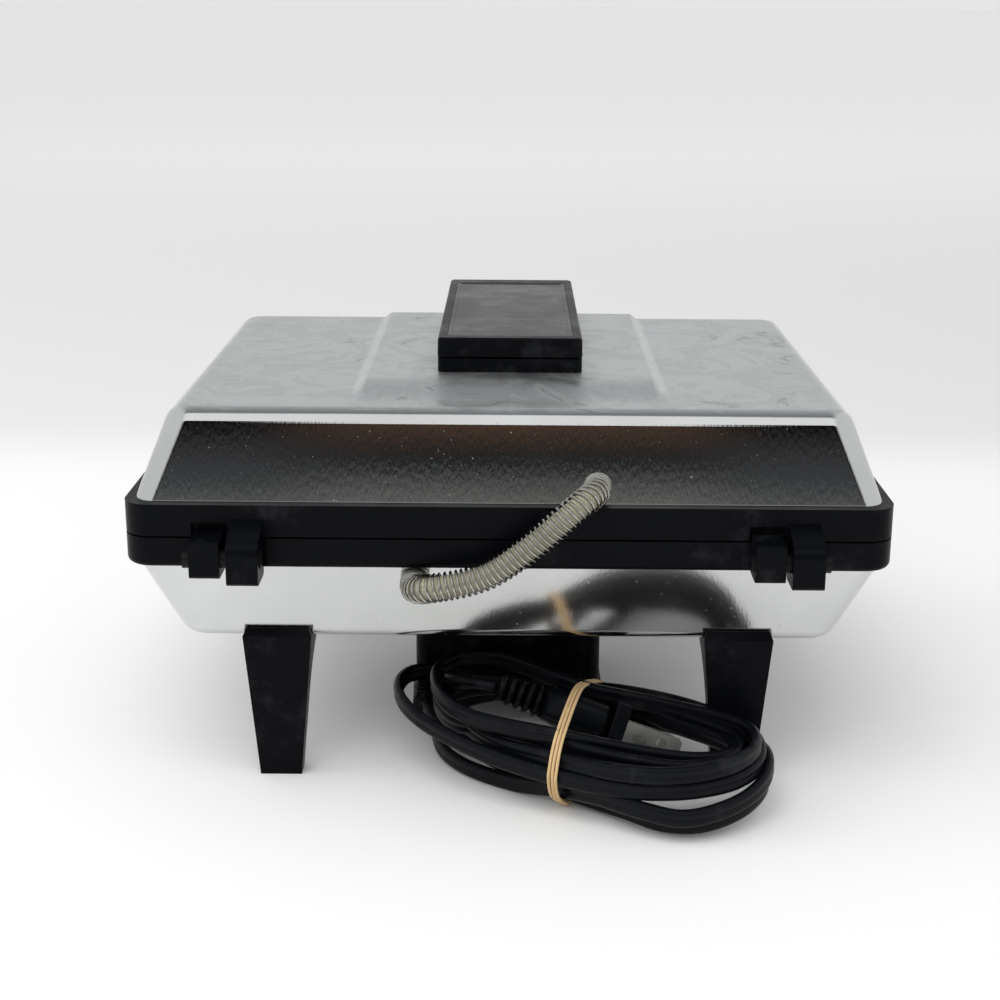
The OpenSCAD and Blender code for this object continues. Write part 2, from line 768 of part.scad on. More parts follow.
// Spring of round wire wound over the woven sleeve
module armour_coil() {
  centre = smooth(armour_route, 12);
  dist = run(centre);
  length = dist[len(dist) - 1];
  per_turn = 12;
  ends = 0.8;
  turns = floor((length - 2 * ends) / armour_pitch);
  steps = turns * per_turn;
  r = (armour_d - armour_wire) / 2;
  sides = 4;
  rings = [
    for (i = [0 : steps])
      let(
        s = ends + (length - 2 * ends) * i / steps,
        k = max([for (j = [0 : len(dist) - 2]) if (dist[j] <= s) j]),
        f = (s - dist[k]) / (dist[k + 1] - dist[k]),
        at = lerp(centre[k], centre[k + 1], f),
        t = unit(lerp(heading(centre, k), heading(centre, k + 1), f)),
        u = unit(cross(t, armour_side)),
        v = cross(t, u),
        a = 360 * i / per_turn,
        out = cos(a) * u + sin(a) * v
      )
      [for (w = [sides - 1 : -1 : 0])
        at + (r + armour_wire / 2 * cos(360 * w / sides)) * out
          + armour_wire / 2 * sin(360 * w / sides) * t]
  ];
  color("#b9bbbd") swept(rings);
}

module woven_sleeve() {
  color("#c9b48f") swept(tube_rings(smooth(armour_route, 3), sleeve_d / 2, 10, armour_side));
}

// Bush that lines the hole of a shell round the armoured lead, with its collar inside
module bush(at) {
  translate(at) rotate([-90, 0, 0]) difference() {
    union() {
      translate([0, 0, -4.2]) cylinder(h = 4.2, d = bush_d);
      translate([0, 0, -5.6]) cylinder(h = 1.4, d = bush_d + 3);
    }
    translate([0, 0, -6]) cylinder(h = 10, d = armour_d + 0.3);
  }
}

module lid_bush() {
  color("#15171a") bush(lid_port);
}

module base_bush() {
  color("#15171a") bush(base_port);
}

/* Mains cord */

module cord_relief() {
  ribs = 7;
  rib_l = relief_l / ribs;
  color("#101214") translate(relief_at) rotate([-90, 0, 0]) {
    translate([0, 0, -4]) cylinder(h = 4, d = 6);
    for (i = [0 : ribs - 1]) {
      translate([0, 0, i * rib_l]) cylinder(h = rib_l * 0.6, d = relief_d - i * 0.2);
      translate([0, 0, (i + 0.6) * rib_l]) cylinder(h = rib_l * 0.4, d = 5.6);
    }
  }
}

module cord_lead() {
  color("#1c2026") swept(tube_rings(smooth(lead_route, 2), cord_r, 8, [1, 0, 0]));
}

module hank_outline(ends, r) {
  along = unit(ends[1] - ends[0]);
  across = [-along[1], along[0]];
  polygon([ends[0] + r * across, ends[0] - r * across, ends[1] - r * across, ends[1] + r * across]);
  for (p = ends) translate(p) circle(r);
}

module cord_hank() {
  lead_end = lead_route[len(lead_route) - 1];
  color("#1c2026") difference() {
    translate([0, 0, hank_z]) linear_extrude(hank_h) difference() {
      hank_outline(hank_ends, hank_r);
      hank_outline(hank_slot_ends, hank_slot_r);
    }
    translate(relief_at) rotate([-90, 0, 0]) cylinder(h = lead_end[1] - relief_at[1], d = relief_d + 0.6);
  }
}

module plug_tail() {
  color("#1c2026") swept(tube_rings(smooth(tail_route, 2), cord_r, 8, [0, 0, 1]));
}

module plug_place() {
  translate(plug_at) rotate(plug_turn) children();
}

// Moulded two-blade plug, drawn along +X from the end where the cord goes in
plug_l = 48;
plug_relief_l = 18;
plug_flange = 4.5;
plug_t = 12;

module plug_body() {
  ribs = 5;
  rib_l = plug_relief_l / ribs;
  shell_from = plug_relief_l + 1;
  shell_to = plug_l - plug_flange - 1;
  color("#17191c") plug_place() {
    for (i = [0 : ribs - 1]) translate([i * rib_l, 0, 0]) rotate([0, 90, 0]) {
      cylinder(h = rib_l * 0.6, d = 8.2 + i * 0.4);
      translate([0, 0, rib_l * 0.6]) cylinder(h = rib_l * 0.4, d = 6.8);
    }
    hull() {
      translate([shell_from, 0, 0]) cube([2, 12, 9.5], center = true);
      translate([shell_from + 8, 0, 0]) cube([2, 19, plug_t - 0.6], center = true);
      translate([shell_to, 0, 0]) cube([2, 20, plug_t - 0.6], center = true);
    }
    translate([plug_l - plug_flange / 2, 0, 0]) cube([plug_flange, 24, plug_t + 0.6], center = true);
  }
}

module plug_blades() {
  blade_l = 17.6;
  spread = 12.7;
  color("#c7c7bf") plug_place() for (s = [-1, 1]) translate([plug_l, s * spread / 2, 0]) difference() {
    linear_extrude(6.35, center = true)
      polygon([[0, -0.75], [blade_l - 1, -0.75], [blade_l, 0], [blade_l - 1, 0.75], [0, 0.75]]);
    translate([11.9, 0, 0]) rotate([90, 0, 0]) cylinder(h = 4, d = 3.2, center = true, $fn = 24);
  }
}

module cord_tie() {
  width = 3;
  half = hank_r + hank_z;
  middle = (hank_ends[0] + hank_ends[1]) / 2;
  turn = atan2(hank_ends[1][1] - hank_ends[0][1], hank_ends[1][0] - hank_ends[0][0]);
  color("#c8a878") translate([middle[0], middle[1], 0]) rotate(turn) difference() {
    translate([-width / 2, -half, 0]) cube([width, 2 * half, hank_h + 2 * hank_z]);
    translate([-width, -hank_r, hank_z]) cube([2 * width, 2 * hank_r, hank_h]);
  }
}

lid_shell();
lid_frame();
lid_plate();
lid_plate_screws();
lid_heater();
lid_heater_clips();
handle_base();
handle_cap();
handle_label();
handle_screws();
thermal_fuse();
base_shell();
base_frame();
base_plate();
base_plate_screws();
base_heater();
base_heater_clips();
thermostat();
hinge_pin_left();
hinge_pin_right();
rear_leg_left();
rear_leg_right();
front_leg_left();
front_leg_right();
leg_screws();
wiring_box();
wiring_cover();
wiring_cover_screws();
terminal_block();
armour_coil();
woven_sleeve();
lid_bush();
base_bush();
cord_relief();
cord_lead();
cord_hank();
plug_tail();
plug_body();
plug_blades();
cord_tie();
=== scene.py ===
"""Looks of the sandwich toaster: chrome covers, armoured lead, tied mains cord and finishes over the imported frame."""

import math

import bmesh
import bpy
from mathutils import Euler, Matrix, Vector, noise


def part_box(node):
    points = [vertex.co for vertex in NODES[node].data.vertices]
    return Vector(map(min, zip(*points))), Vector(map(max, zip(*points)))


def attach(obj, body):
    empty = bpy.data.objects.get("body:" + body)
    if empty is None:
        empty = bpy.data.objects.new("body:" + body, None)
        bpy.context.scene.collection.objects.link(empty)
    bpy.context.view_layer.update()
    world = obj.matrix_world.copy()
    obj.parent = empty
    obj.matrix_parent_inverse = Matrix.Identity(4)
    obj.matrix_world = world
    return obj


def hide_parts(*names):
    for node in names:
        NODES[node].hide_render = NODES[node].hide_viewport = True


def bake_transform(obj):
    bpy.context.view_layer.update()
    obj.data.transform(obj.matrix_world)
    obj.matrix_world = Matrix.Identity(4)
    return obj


bl_info = {
    "name": "Sandwich Toaster",
    "version": (1, 0, 0),
    "blender": (4, 5, 0),
    "location": "View3D > Sidebar > Toaster",
    "description": "Builds the looks of a chrome sandwich toaster over its frame",
    "category": "Object",
}

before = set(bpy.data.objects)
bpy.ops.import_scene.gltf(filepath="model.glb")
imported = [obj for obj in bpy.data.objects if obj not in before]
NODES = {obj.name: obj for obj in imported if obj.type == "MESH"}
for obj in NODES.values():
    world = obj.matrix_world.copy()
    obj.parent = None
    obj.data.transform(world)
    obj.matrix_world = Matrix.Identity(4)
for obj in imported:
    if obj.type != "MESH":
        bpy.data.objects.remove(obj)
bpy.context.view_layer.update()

MM = 0.001

# Tied mains cord: hank_point() turns (along, across, height) in millimetres into the frame
HANK_ORIGIN = Vector((9.0, 54.0, 0.0))
HANK_ALONG = Vector((-0.8550, 0.5186, 0.0))
HANK_ACROSS = Vector((0.5186, 0.8550, 0.0))
RELIEF_AT = Vector((25.5, 30.0, 14.0))
RELIEF_LENGTH = 20.0

# The cord leaves its strain relief, crosses under the plug and is wound six times
CORD_LEAD = [(25.5, 31, 14), (25.5, 38, 14), (25.5, 45, 14), (24.6, 51, 13)]
CORD_TURNS = [
    # lead crossing under the plug
    (-9, 9, 10.6), (2, 11, 7.6), (16, 12, 4.4), (32, 13.4, 3),
    # first turn, on the table towards the hinges
    (46, 15.6, 2.9), (60, 17.6, 3.4), (72, 19.2, 3.6), (82, 15.2, 4.2), (88.6, 5, 5.6), (90.2, -7, 7.8),
    (86, -16.4, 10), (76, -20.6, 11.6), (60, -22, 13), (42, -22.4, 13), (24, -20.6, 12.8), (8, -19.4, 12.6),
    (-5, -16, 12), (-12.6, -7.6, 9.6), (-12.8, 3, 6.4), (-4.6, 12, 3.8), (8, 17, 2.9), (24, 18.4, 2.9),
    # second turn
    (40, 20.6, 6), (54, 23.2, 8.4), (68, 24, 8.3), (80, 20.4, 7.4), (89, 9.4, 9.2), (92, -3, 11.6),
    (88.6, -14.4, 13.8), (79, -22.6, 14), (66, -25.6, 13.6), (48, -25.8, 13.4), (30, -24.4, 13.4),
    (12, -21.6, 14.2), (-2, -16.4, 15.6), (-10.2, -8, 16.8), (-11, 3.6, 17.6), (-4.4, 14, 18), (7, 21.6, 18.3),
    # third turn, behind the others
    (20, 21.6, 20.4), (34, 21.4, 20.3), (48, 21, 19.6), (60, 18.4, 18.4), (72, 13.6, 17.4), (80, 6.6, 17.2),
    (83.6, -2, 17.4), (81, -11, 17.4), (73, -17, 17), (60, -19.8, 16.8), (42, -20.6, 16.6), (24, -17.8, 16.4),
    (8, -15.8, 16.2), (-3, -11.4, 16.4), (-7.6, -3, 17), (-6.6, 5.4, 17.6), (-0.6, 13, 18), (9, 20.6, 18.3),
    # fourth turn, up to the loop on top
    (22, 25.2, 17.4), (36, 25.2, 17.2), (50, 25.4, 17.6), (62, 24.8, 18.2), (73, 21.4, 18.6),
    (82.6, 13.6, 19.2), (88, 3, 19.8), (87.6, -8, 20.2), (81, -15.6, 20.6), (70, -19.4, 20), (56, -19.8, 19.6),
    (44, -15.6, 21.2), (33, -10.6, 23.2), (22, -9.6, 25), (8, -11.4, 26), (-3, -11, 26), (-10.4, -5.6, 25.7),
    (-11.6, 3.6, 25), (-6.6, 13, 24.6), (3, 21.6, 24.2),
    # fifth turn, under the plug and out to the widest loop
    (15, 26.4, 24), (28, 25.6, 23.7), (40, 21.6, 22.4), (52, 16.6, 20.4), (64, 11.4, 18.6), (75, 5, 17.2),
    (81.4, -3, 16.8), (79, -10.4, 16.2), (70, -15.4, 15.4), (58, -18.2, 15.2), (42, -19, 17.4),
    (26, -18.8, 16.6), (8, -21, 14.6), (-6, -20, 15), (-17, -13, 17), (-24, -2, 19.8), (-22.4, 9, 20.2),
    (-15, 18.4, 19.6), (-4, 25, 18.6), (8, 28.2, 17.2), (20, 29, 15.4),
    # sixth turn
    (33, 27.8, 13.6), (46, 26.6, 13), (58, 25, 13), (69, 22, 13.3), (79.6, 15.4, 13.8), (87.4, 5, 14.4),
    (89.2, -6.4, 15.4), (84.6, -16.4, 16.8), (75, -22.4, 18), (60, -24.6, 18.8), (46, -24.6, 19),
    (32, -23.4, 18.6), (16, -18.6, 18), (4, -13.4, 18.4), (-4.4, -5.6, 20),
    # up inside the others to the plug
    (-6.6, 2, 22.4), (-4.2, 8.4, 25), (1, 10, 26.4), (6.4, 8.8, 26.5), (11.4, 7, 25.95),
]

# Plug, drawn along its own length from the end where the cord goes in; it leans on the turns of the cord
PLUG_AT = Vector((2.6, 65.9, 25.8))
PLUG_TURN = Euler((math.radians(-20), math.radians(19), math.radians(178)))
PLUG_LENGTH = 38.0
PLUG_RELIEF = 14.0
PLUG_FLANGE = 4.5

# Armoured lead from the base pan to the lid cover
BASE_PORT = Vector((28.3, 74.9, 62.0))
LID_PORT = Vector((-25.2, 75.6, 90.2))
ARMOUR_ROUTE = [
    (26.5, 71.1, 61.9), (26.5, 74.9, 61.9), (26.4, 79, 61.8), (25.4, 83.6, 62.3), (22.6, 87, 63.6),
    (18.1, 88.4, 64.7), (10.9, 88.6, 66.3), (4.2, 88.6, 69), (-2.9, 88.6, 73.9), (-9.4, 88.6, 79.1),
    (-15.7, 88.2, 84.7), (-20.4, 86, 88.2), (-23.6, 81.6, 89.8), (-24.7, 75.7, 89.9), (-24.8, 72, 89.9),
]

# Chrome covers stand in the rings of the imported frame; their side and end walls lean by these slopes
LID_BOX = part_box("lid_shell")
BASE_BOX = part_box("base_shell")
COVER_Y = (LID_BOX[0].y + LID_BOX[1].y) / 2
COVER_SKIRT = 0.003
PANEL_RISE = 0.0026
PANEL_RUN_OUT = 0.022
LID_TOP = LID_BOX[1].z - PANEL_RISE
LID_LEAN = (0.379, 0.317)
BASE_LEAN = (0.455, 0.328)


def plug_place():
    """Place of the plug in the frame, in metres."""
    return Matrix.Translation(PLUG_AT * MM) @ PLUG_TURN.to_matrix().to_4x4()


def hank_point(along, across, height):
    """A point of the cord hank in the frame, in metres."""
    return (HANK_ORIGIN + HANK_ALONG * along + HANK_ACROSS * across + Vector((0, 0, height))) * MM


def smooth_route(points, steps):
    """Catmull-Rom curve through given points."""
    def at(i):
        return points[max(0, min(len(points) - 1, i))]

    route = []
    for i in range(len(points) - 1):
        a, b, c, d = at(i - 1), at(i), at(i + 1), at(i + 2)
        for s in range(steps):
            t = s / steps
            route.append(0.5 * (2 * b + (c - a) * t + (2 * a - 5 * b + 4 * c - d) * t * t
                                + (3 * b - a - 3 * c + d) * t * t * t))
    route.append(points[-1].copy())
    return route


def even_route(route, step):
    """The same route with its points a fixed distance apart."""
    out = [route[0].copy()]
    carry = 0.0
    for a, b in zip(route, route[1:]):
        gap = (b - a).length
        along = step - carry
        while along <= gap:
            out.append(a.lerp(b, along / gap))
            along += step
        carry = (carry + gap) % step
    if (out[-1] - route[-1]).length > step * 0.3:
        out.append(route[-1].copy())
    return out


def finish_piece(name, mesh, material, body, smooth=True):
    """Makes an object of a bmesh or mesh, gives it its material and lets it ride on a body."""
    if isinstance(mesh, bmesh.types.BMesh):
        data = bpy.data.meshes.new(name)
        mesh.to_mesh(data)
        mesh.free()
    else:
        data = mesh
    data.materials.clear()
    data.materials.append(material)
    for face in data.polygons:
        face.use_smooth = smooth
    piece = bpy.data.objects.new(name, data)
    bpy.context.scene.collection.objects.link(piece)
    if body:
        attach(piece, body)
    return piece


def upright_matrix(route, i, roll=0.0):
    """Place of a cross-section on a route: local Y points up, local Z along the route."""
    ahead = (route[min(i + 1, len(route) - 1)] - route[max(i - 1, 0)]).normalized()
    up = Vector((0, 0, 1))
    up = (up - ahead * up.dot(ahead)).normalized()
    side = up.cross(ahead)
    place = Matrix((side, up, ahead)).transposed().to_4x4()
    place.translation = route[i]
    return place @ Matrix.Rotation(roll, 4, "Z")


def sweep_section(bm, section, route, rolls=None):
    """Extrudes a closed section, given in its own plane, along a route."""
    places = [upright_matrix(route, i, rolls[i] if rolls else 0.0) for i in range(len(route))]
    loop = [bm.verts.new(places[0] @ Vector((x, y, 0))) for x, y in section]
    edges = [bm.edges.new((loop[i], loop[(i + 1) % len(loop)])) for i in range(len(loop))]
    bm.faces.new(loop)
    for before, after in zip(places, places[1:]):
        made = bmesh.ops.extrude_edge_only(bm, edges=edges)["geom"]
        verts = [g for g in made if isinstance(g, bmesh.types.BMVert)]
        edges = [g for g in made if isinstance(g, bmesh.types.BMEdge) and all(v in verts for v in g.verts)]
        bmesh.ops.transform(bm, matrix=after @ before.inverted(), verts=verts)
    bmesh.ops.contextual_create(bm, geom=edges)
    bmesh.ops.recalc_face_normals(bm, faces=bm.faces)


def oval_section(width, height, count):
    return [(width / 2 * math.cos(2 * math.pi * i / count), height / 2 * math.sin(2 * math.pi * i / count))
            for i in range(count)]


def twin_section(width, thickness, per_core):
    """Section of a flat two-core cord standing on edge: two round cores with a shallow groove between them."""
    core = thickness / 2
    centre = width / 2 - core
    start = math.radians(-46)
    points = []
    for side in (1, -1):
        for i in range(per_core + 1):
            a = start + (math.pi - 2 * start) * i / per_core
            points.append((core * math.cos(a) * side, (centre + core * math.sin(a)) * side))
    return points


# ---------------------------------------------------------------- materials


def tree_of(name):
    """A new material with its shader tree emptied down to the output and one Principled shader."""
    material = bpy.data.materials.new(name)
    material.use_nodes = True
    tree = material.node_tree
    return material, tree, tree.nodes["Principled BSDF"]


def new_group(name, inputs, outputs):
    tree = bpy.data.node_groups.new(name, "ShaderNodeTree")
    for label, kind, value in inputs:
        socket = tree.interface.new_socket(label, in_out="INPUT", socket_type=kind)
        if value is not None:
            socket.default_value = value
    for label, kind in outputs:
        tree.interface.new_socket(label, in_out="OUTPUT", socket_type=kind)
    return tree, tree.nodes.new("NodeGroupInput"), tree.nodes.new("NodeGroupOutput")


def wipe_marks_group():
    """Marks on worn chrome: soft blotches, curved cloth strokes, fine brushing down the walls and pits."""
    tree, given, out = new_group(
        "wipe_marks",
        [("Vector", "NodeSocketVector", None), ("Strokes", "NodeSocketFloat", 20.0), ("Brushing", "NodeSocketFloat", 1500.0)],
        [("Blotches", "NodeSocketFloat"), ("Strokes", "NodeSocketFloat"), ("Brushing", "NodeSocketFloat"),
         ("Pits", "NodeSocketFloat")],
    )
    looks = {
        "Blotches": dict(Scale=16.0, Detail=4.0, Roughness=0.6, Distortion=0.6),
        "Strokes": dict(Scale=20.0, Detail=7.0, Roughness=0.66, Distortion=2.6),
        "Brushing": dict(Scale=1500.0, Detail=2.0, Roughness=0.5, Distortion=0.0),
        "Pits": dict(Scale=1300.0, Detail=1.0, Roughness=0.5, Distortion=0.0),
    }
    down_the_wall = tree.nodes.new("ShaderNodeVectorMath")
    down_the_wall.operation = "MULTIPLY"
    down_the_wall.inputs[1].default_value = (1.0, 1.0, 0.02)
    tree.links.new(given.outputs["Vector"], down_the_wall.inputs[0])
    for label, values in looks.items():
        field = tree.nodes.new("ShaderNodeTexNoise")
        for socket, value in values.items():
            field.inputs[socket].default_value = value
        vector = down_the_wall.outputs["Vector"] if label == "Brushing" else given.outputs["Vector"]
        tree.links.new(vector, field.inputs["Vector"])
        if label in ("Strokes", "Brushing"):
            tree.links.new(given.outputs[label], field.inputs["Scale"])
        tree.links.new(field.outputs["Fac"], out.inputs[label])
    return tree


def moulded_grain_group():
    """Fine texture of moulded plastic and rubber, with rubbed patches."""
    tree, given, out = new_group(
        "moulded_grain",
        [("Vector", "NodeSocketVector", None), ("Fine", "NodeSocketFloat", 900.0), ("Coarse", "NodeSocketFloat", 40.0)],
        [("Height", "NodeSocketFloat"), ("Rubbed", "NodeSocketFloat")],
    )
    fine = tree.nodes.new("ShaderNodeTexNoise")
    fine.inputs["Detail"].default_value = 2.0
    coarse = tree.nodes.new("ShaderNodeTexNoise")
    coarse.inputs["Detail"].default_value = 6.0
    coarse.inputs["Roughness"].default_value = 0.7
    for node, label in ((fine, "Fine"), (coarse, "Coarse")):
        tree.links.new(given.outputs["Vector"], node.inputs["Vector"])
        tree.links.new(given.outputs[label], node.inputs["Scale"])
    tree.links.new(fine.outputs["Fac"], out.inputs["Height"])
    tree.links.new(coarse.outputs["Fac"], out.inputs["Rubbed"])
    return tree


def place_group(tree, group, **values):
    node = tree.nodes.new("ShaderNodeGroup")
    node.node_tree = group
    coords = tree.nodes.new("ShaderNodeTexCoord")
    tree.links.new(coords.outputs["Object"], node.inputs["Vector"])
    for label, value in values.items():
        node.inputs[label].default_value = value
    return node, coords


def ramp_of(tree, source, stops):
    """A colour ramp fed by a value; stops are (place, grey or colour)."""
    ramp = tree.nodes.new("ShaderNodeValToRGB")
    elements = ramp.color_ramp.elements
    elements[0].position = stops[0][0]
    elements[1].position = stops[-1][0]
    for at, _ in stops[1:-1]:
        elements.new(at)
    for element, (_, colour) in zip(elements, stops):
        element.color = (colour, colour, colour, 1) if isinstance(colour, (int, float)) else (*colour, 1)
    tree.links.new(source, ramp.inputs["Fac"])
    return ramp.outputs["Color"]


def bump_from(tree, shader, height, strength, distance):
    bump = tree.nodes.new("ShaderNodeBump")
    bump.inputs["Strength"].default_value = strength
    bump.inputs["Distance"].default_value = distance
    tree.links.new(height, bump.inputs["Height"])
    tree.links.new(bump.outputs["Normal"], shader.inputs["Normal"])
    return bump


def map_range(tree, source, low, high, to_low=0.0, to_high=1.0):
    node = tree.nodes.new("ShaderNodeMapRange")
    node.interpolation_type = "SMOOTHSTEP"
    for label, value in (("From Min", low), ("From Max", high), ("To Min", to_low), ("To Max", to_high)):
        node.inputs[label].default_value = value
    tree.links.new(source, node.inputs["Value"])
    return node.outputs["Result"]


def math_node(tree, operation, a, b):
    node = tree.nodes.new("ShaderNodeMath")
    node.operation = operation
    for socket, value in zip(node.inputs, (a, b)):
        if isinstance(value, (int, float)):
            socket.default_value = value
        else:
            tree.links.new(value, socket)
    return node.outputs["Value"]


def mix_colours(tree, factor, a, b):
    node = tree.nodes.new("ShaderNodeMix")
    node.data_type = "RGBA"
    tree.links.new(factor, node.inputs["Factor"])
    for socket, value in ((node.inputs[6], a), (node.inputs[7], b)):
        if isinstance(value, tuple):
            socket.default_value = (*value, 1)
        else:
            tree.links.new(value, socket)
    return node.outputs[2]


def mix_values(tree, factor, a, b):
    node = tree.nodes.new("ShaderNodeMix")
    node.data_type = "FLOAT"
    tree.links.new(factor, node.inputs["Factor"])
    for socket, value in ((node.inputs[2], a), (node.inputs[3], b)):
        if isinstance(value, (int, float)):
            socket.default_value = value
        else:
            tree.links.new(value, socket)
    return node.outputs[0]


def chrome_sheet(name, dull_from, dull_to, wall_rough):
    """Drawn chrome plate: bright walls with faint brushing and pits, and a flat dulled by years of wiping."""
    material, tree, shader = tree_of(name)
    marks, coords = place_group(tree, GROUPS["wipe_marks"], Strokes=30.0, Brushing=1500.0)
    split = tree.nodes.new("ShaderNodeSeparateXYZ")
    tree.links.new(coords.outputs["Object"], split.inputs["Vector"])
    flat = map_range(tree, split.outputs["Z"], dull_from, dull_to)
    strokes = ramp_of(tree, marks.outputs["Strokes"], [
        (0.34, (0.60, 0.61, 0.62)), (0.47, (0.73, 0.74, 0.74)), (0.52, (0.66, 0.67, 0.675)), (0.60, (0.76, 0.77, 0.765)),
        (0.66, (0.55, 0.56, 0.57))])
    clear = ramp_of(tree, marks.outputs["Blotches"], [(0.35, (0.68, 0.69, 0.69)), (0.7, (0.60, 0.61, 0.60))])
    tree.links.new(mix_colours(tree, flat, clear, strokes), shader.inputs["Base Color"])
    grime = map_range(tree, marks.outputs["Blotches"], 0.45, 0.68)
    pitted = map_range(tree, marks.outputs["Pits"], 0.75, 0.80)
    wall = mix_values(tree, grime, wall_rough, wall_rough + 0.02)
    wall = mix_values(tree, pitted, wall, 0.4)
    top = map_range(tree, marks.outputs["Strokes"], 0.35, 0.65, 0.38, 0.50)
    tree.links.new(mix_values(tree, flat, wall, top), shader.inputs["Roughness"])
    shader.inputs["Metallic"].default_value = 1.0
    relief = math_node(tree, "ADD", math_node(tree, "MULTIPLY", marks.outputs["Brushing"], 0.12),
                       math_node(tree, "MULTIPLY", marks.outputs["Blotches"], 0.16))
    bump_from(tree, shader, relief, 0.08, 0.0012)
    return material


def moulded(name, colour, rough, grain=0.12, fine=900.0, rubbed=0.0, gloss=0.15):
    """Plastic or rubber from a mould."""
    material, tree, shader = tree_of(name)
    grains, _ = place_group(tree, GROUPS["moulded_grain"], Fine=fine, Coarse=45.0)
    pale = tuple(min(1.0, c * (1.0 + rubbed) + 0.012 * rubbed) for c in colour)
    worn = map_range(tree, grains.outputs["Rubbed"], 0.52, 0.7)
    tree.links.new(mix_colours(tree, worn, colour, pale), shader.inputs["Base Color"])
    tree.links.new(map_range(tree, grains.outputs["Rubbed"], 0.3, 0.7, rough - 0.06, rough + 0.07), shader.inputs["Roughness"])
    shader.inputs["Specular IOR Level"].default_value = gloss
    bump_from(tree, shader, grains.outputs["Height"], grain, 0.0002)
    return material


def metal(name, colour, rough, grain=0.1, fine=700.0):
    material, tree, shader = tree_of(name)
    grains, _ = place_group(tree, GROUPS["moulded_grain"], Fine=fine, Coarse=60.0)
    dark = tuple(c * 0.78 for c in colour)
    tree.links.new(mix_colours(tree, map_range(tree, grains.outputs["Rubbed"], 0.4, 0.7), colour, dark), shader.inputs["Base Color"])
    tree.links.new(map_range(tree, grains.outputs["Rubbed"], 0.3, 0.7, rough - 0.07, rough + 0.09), shader.inputs["Roughness"])
    shader.inputs["Metallic"].default_value = 1.0
    bump_from(tree, shader, grains.outputs["Height"], grain, 0.0002)
    return material


def woven(name, colour, scale):
    """Braided glass sleeving."""
    material, tree, shader = tree_of(name)
    coords = tree.nodes.new("ShaderNodeTexCoord")
    wave = tree.nodes.new("ShaderNodeTexWave")
    wave.bands_direction = "DIAGONAL"
    wave.inputs["Scale"].default_value = scale
    wave.inputs["Distortion"].default_value = 2.0
    tree.links.new(coords.outputs["Object"], wave.inputs["Vector"])
    dark = tuple(c * 0.7 for c in colour)
    tree.links.new(mix_colours(tree, wave.outputs["Fac"], dark, colour), shader.inputs["Base Color"])
    shader.inputs["Roughness"].default_value = 0.85
    bump_from(tree, shader, wave.outputs["Fac"], 0.4, 0.0003)
    return material


GROUPS = {}
FINISHES = {}


def finish(name):
    """A material of this object, made when it is first asked for."""
    if not GROUPS:
        GROUPS["wipe_marks"] = wipe_marks_group()
        GROUPS["moulded_grain"] = moulded_grain_group()
    if name not in FINISHES:
        makers = {
            "lid_chrome": lambda: chrome_sheet(name, LID_TOP - 0.0012, LID_TOP - 0.0002, 0.025),
            "base_chrome": lambda: chrome_sheet(name, 0.5, 0.6, 0.13),
            "black_plastic": lambda: moulded(name, (0.0022, 0.0026, 0.0038), 0.34, 0.12, rubbed=0.8, gloss=0.06),
            "label_black": lambda: moulded(name, (0.012, 0.0125, 0.013), 0.30, 0.03, rubbed=0.4),
            "nonstick": lambda: moulded(name, (0.028, 0.028, 0.03), 0.42, 0.3, 500.0, rubbed=0.8),
            "steel_screws": lambda: metal(name, (0.56, 0.56, 0.57), 0.3),
            "heater_sheath": lambda: metal(name, (0.24, 0.21, 0.19), 0.45),
            "steel_pin": lambda: moulded(name, (0.006, 0.006, 0.007), 0.35, 0.2, rubbed=1.5),
            "armour_wire": lambda: metal(name, (0.44, 0.43, 0.40), 0.20),
            "blade_metal": lambda: metal(name, (0.62, 0.61, 0.57), 0.30, 0.03, 350.0),
            "glass_sleeving": lambda: woven(name, (0.62, 0.55, 0.42), 900.0),
            "woven_glass": lambda: woven(name, (0.44, 0.41, 0.31), 900.0),
            "ceramic": lambda: moulded(name, (0.72, 0.68, 0.60), 0.6, 0.2, 600.0, rubbed=0.1),
            "cord_black": lambda: moulded(name, (0.0024, 0.003, 0.0046), 0.36, 0.1, 700.0, rubbed=0.8, gloss=0.14),
            "plug_black": lambda: moulded(name, (0.0024, 0.003, 0.0042), 0.32, 0.12, 800.0, rubbed=0.8, gloss=0.12),
            "tan_rubber": lambda: moulded(name, (0.60, 0.42, 0.22), 0.55, 0.3, 500.0, rubbed=0.25),
        }
        FINISHES[name] = makers[name]()
    return FINISHES[name]


# ---------------------------------------------------------------- settings


class CordSettings(bpy.types.PropertyGroup):
    width: bpy.props.FloatProperty(name="Width", description="Wide side of the flat cord", default=0.0053, unit="LENGTH")
    thickness: bpy.props.FloatProperty(
        name="Thickness", description="Thin side of the flat cord", default=0.0029, unit="LENGTH")


class PinSettings(bpy.types.PropertyGroup):
    length: bpy.props.FloatProperty(name="Length", description="Blade from the plug's face", default=0.0176, unit="LENGTH")
    width: bpy.props.FloatProperty(name="Width", description="Wide side of a blade", default=0.00635, unit="LENGTH")
    thickness: bpy.props.FloatProperty(name="Thickness", description="Sheet of a blade", default=0.0015, unit="LENGTH")
    spread: bpy.props.FloatProperty(name="Spread", description="Between the two blades", default=0.0127, unit="LENGTH")
    hole: bpy.props.FloatProperty(name="Hole", description="Diameter of the hole", default=0.0032, unit="LENGTH")
    hole_at: bpy.props.FloatProperty(
        name="Hole place", description="From the plug's face to the hole", default=0.0119, unit="LENGTH")


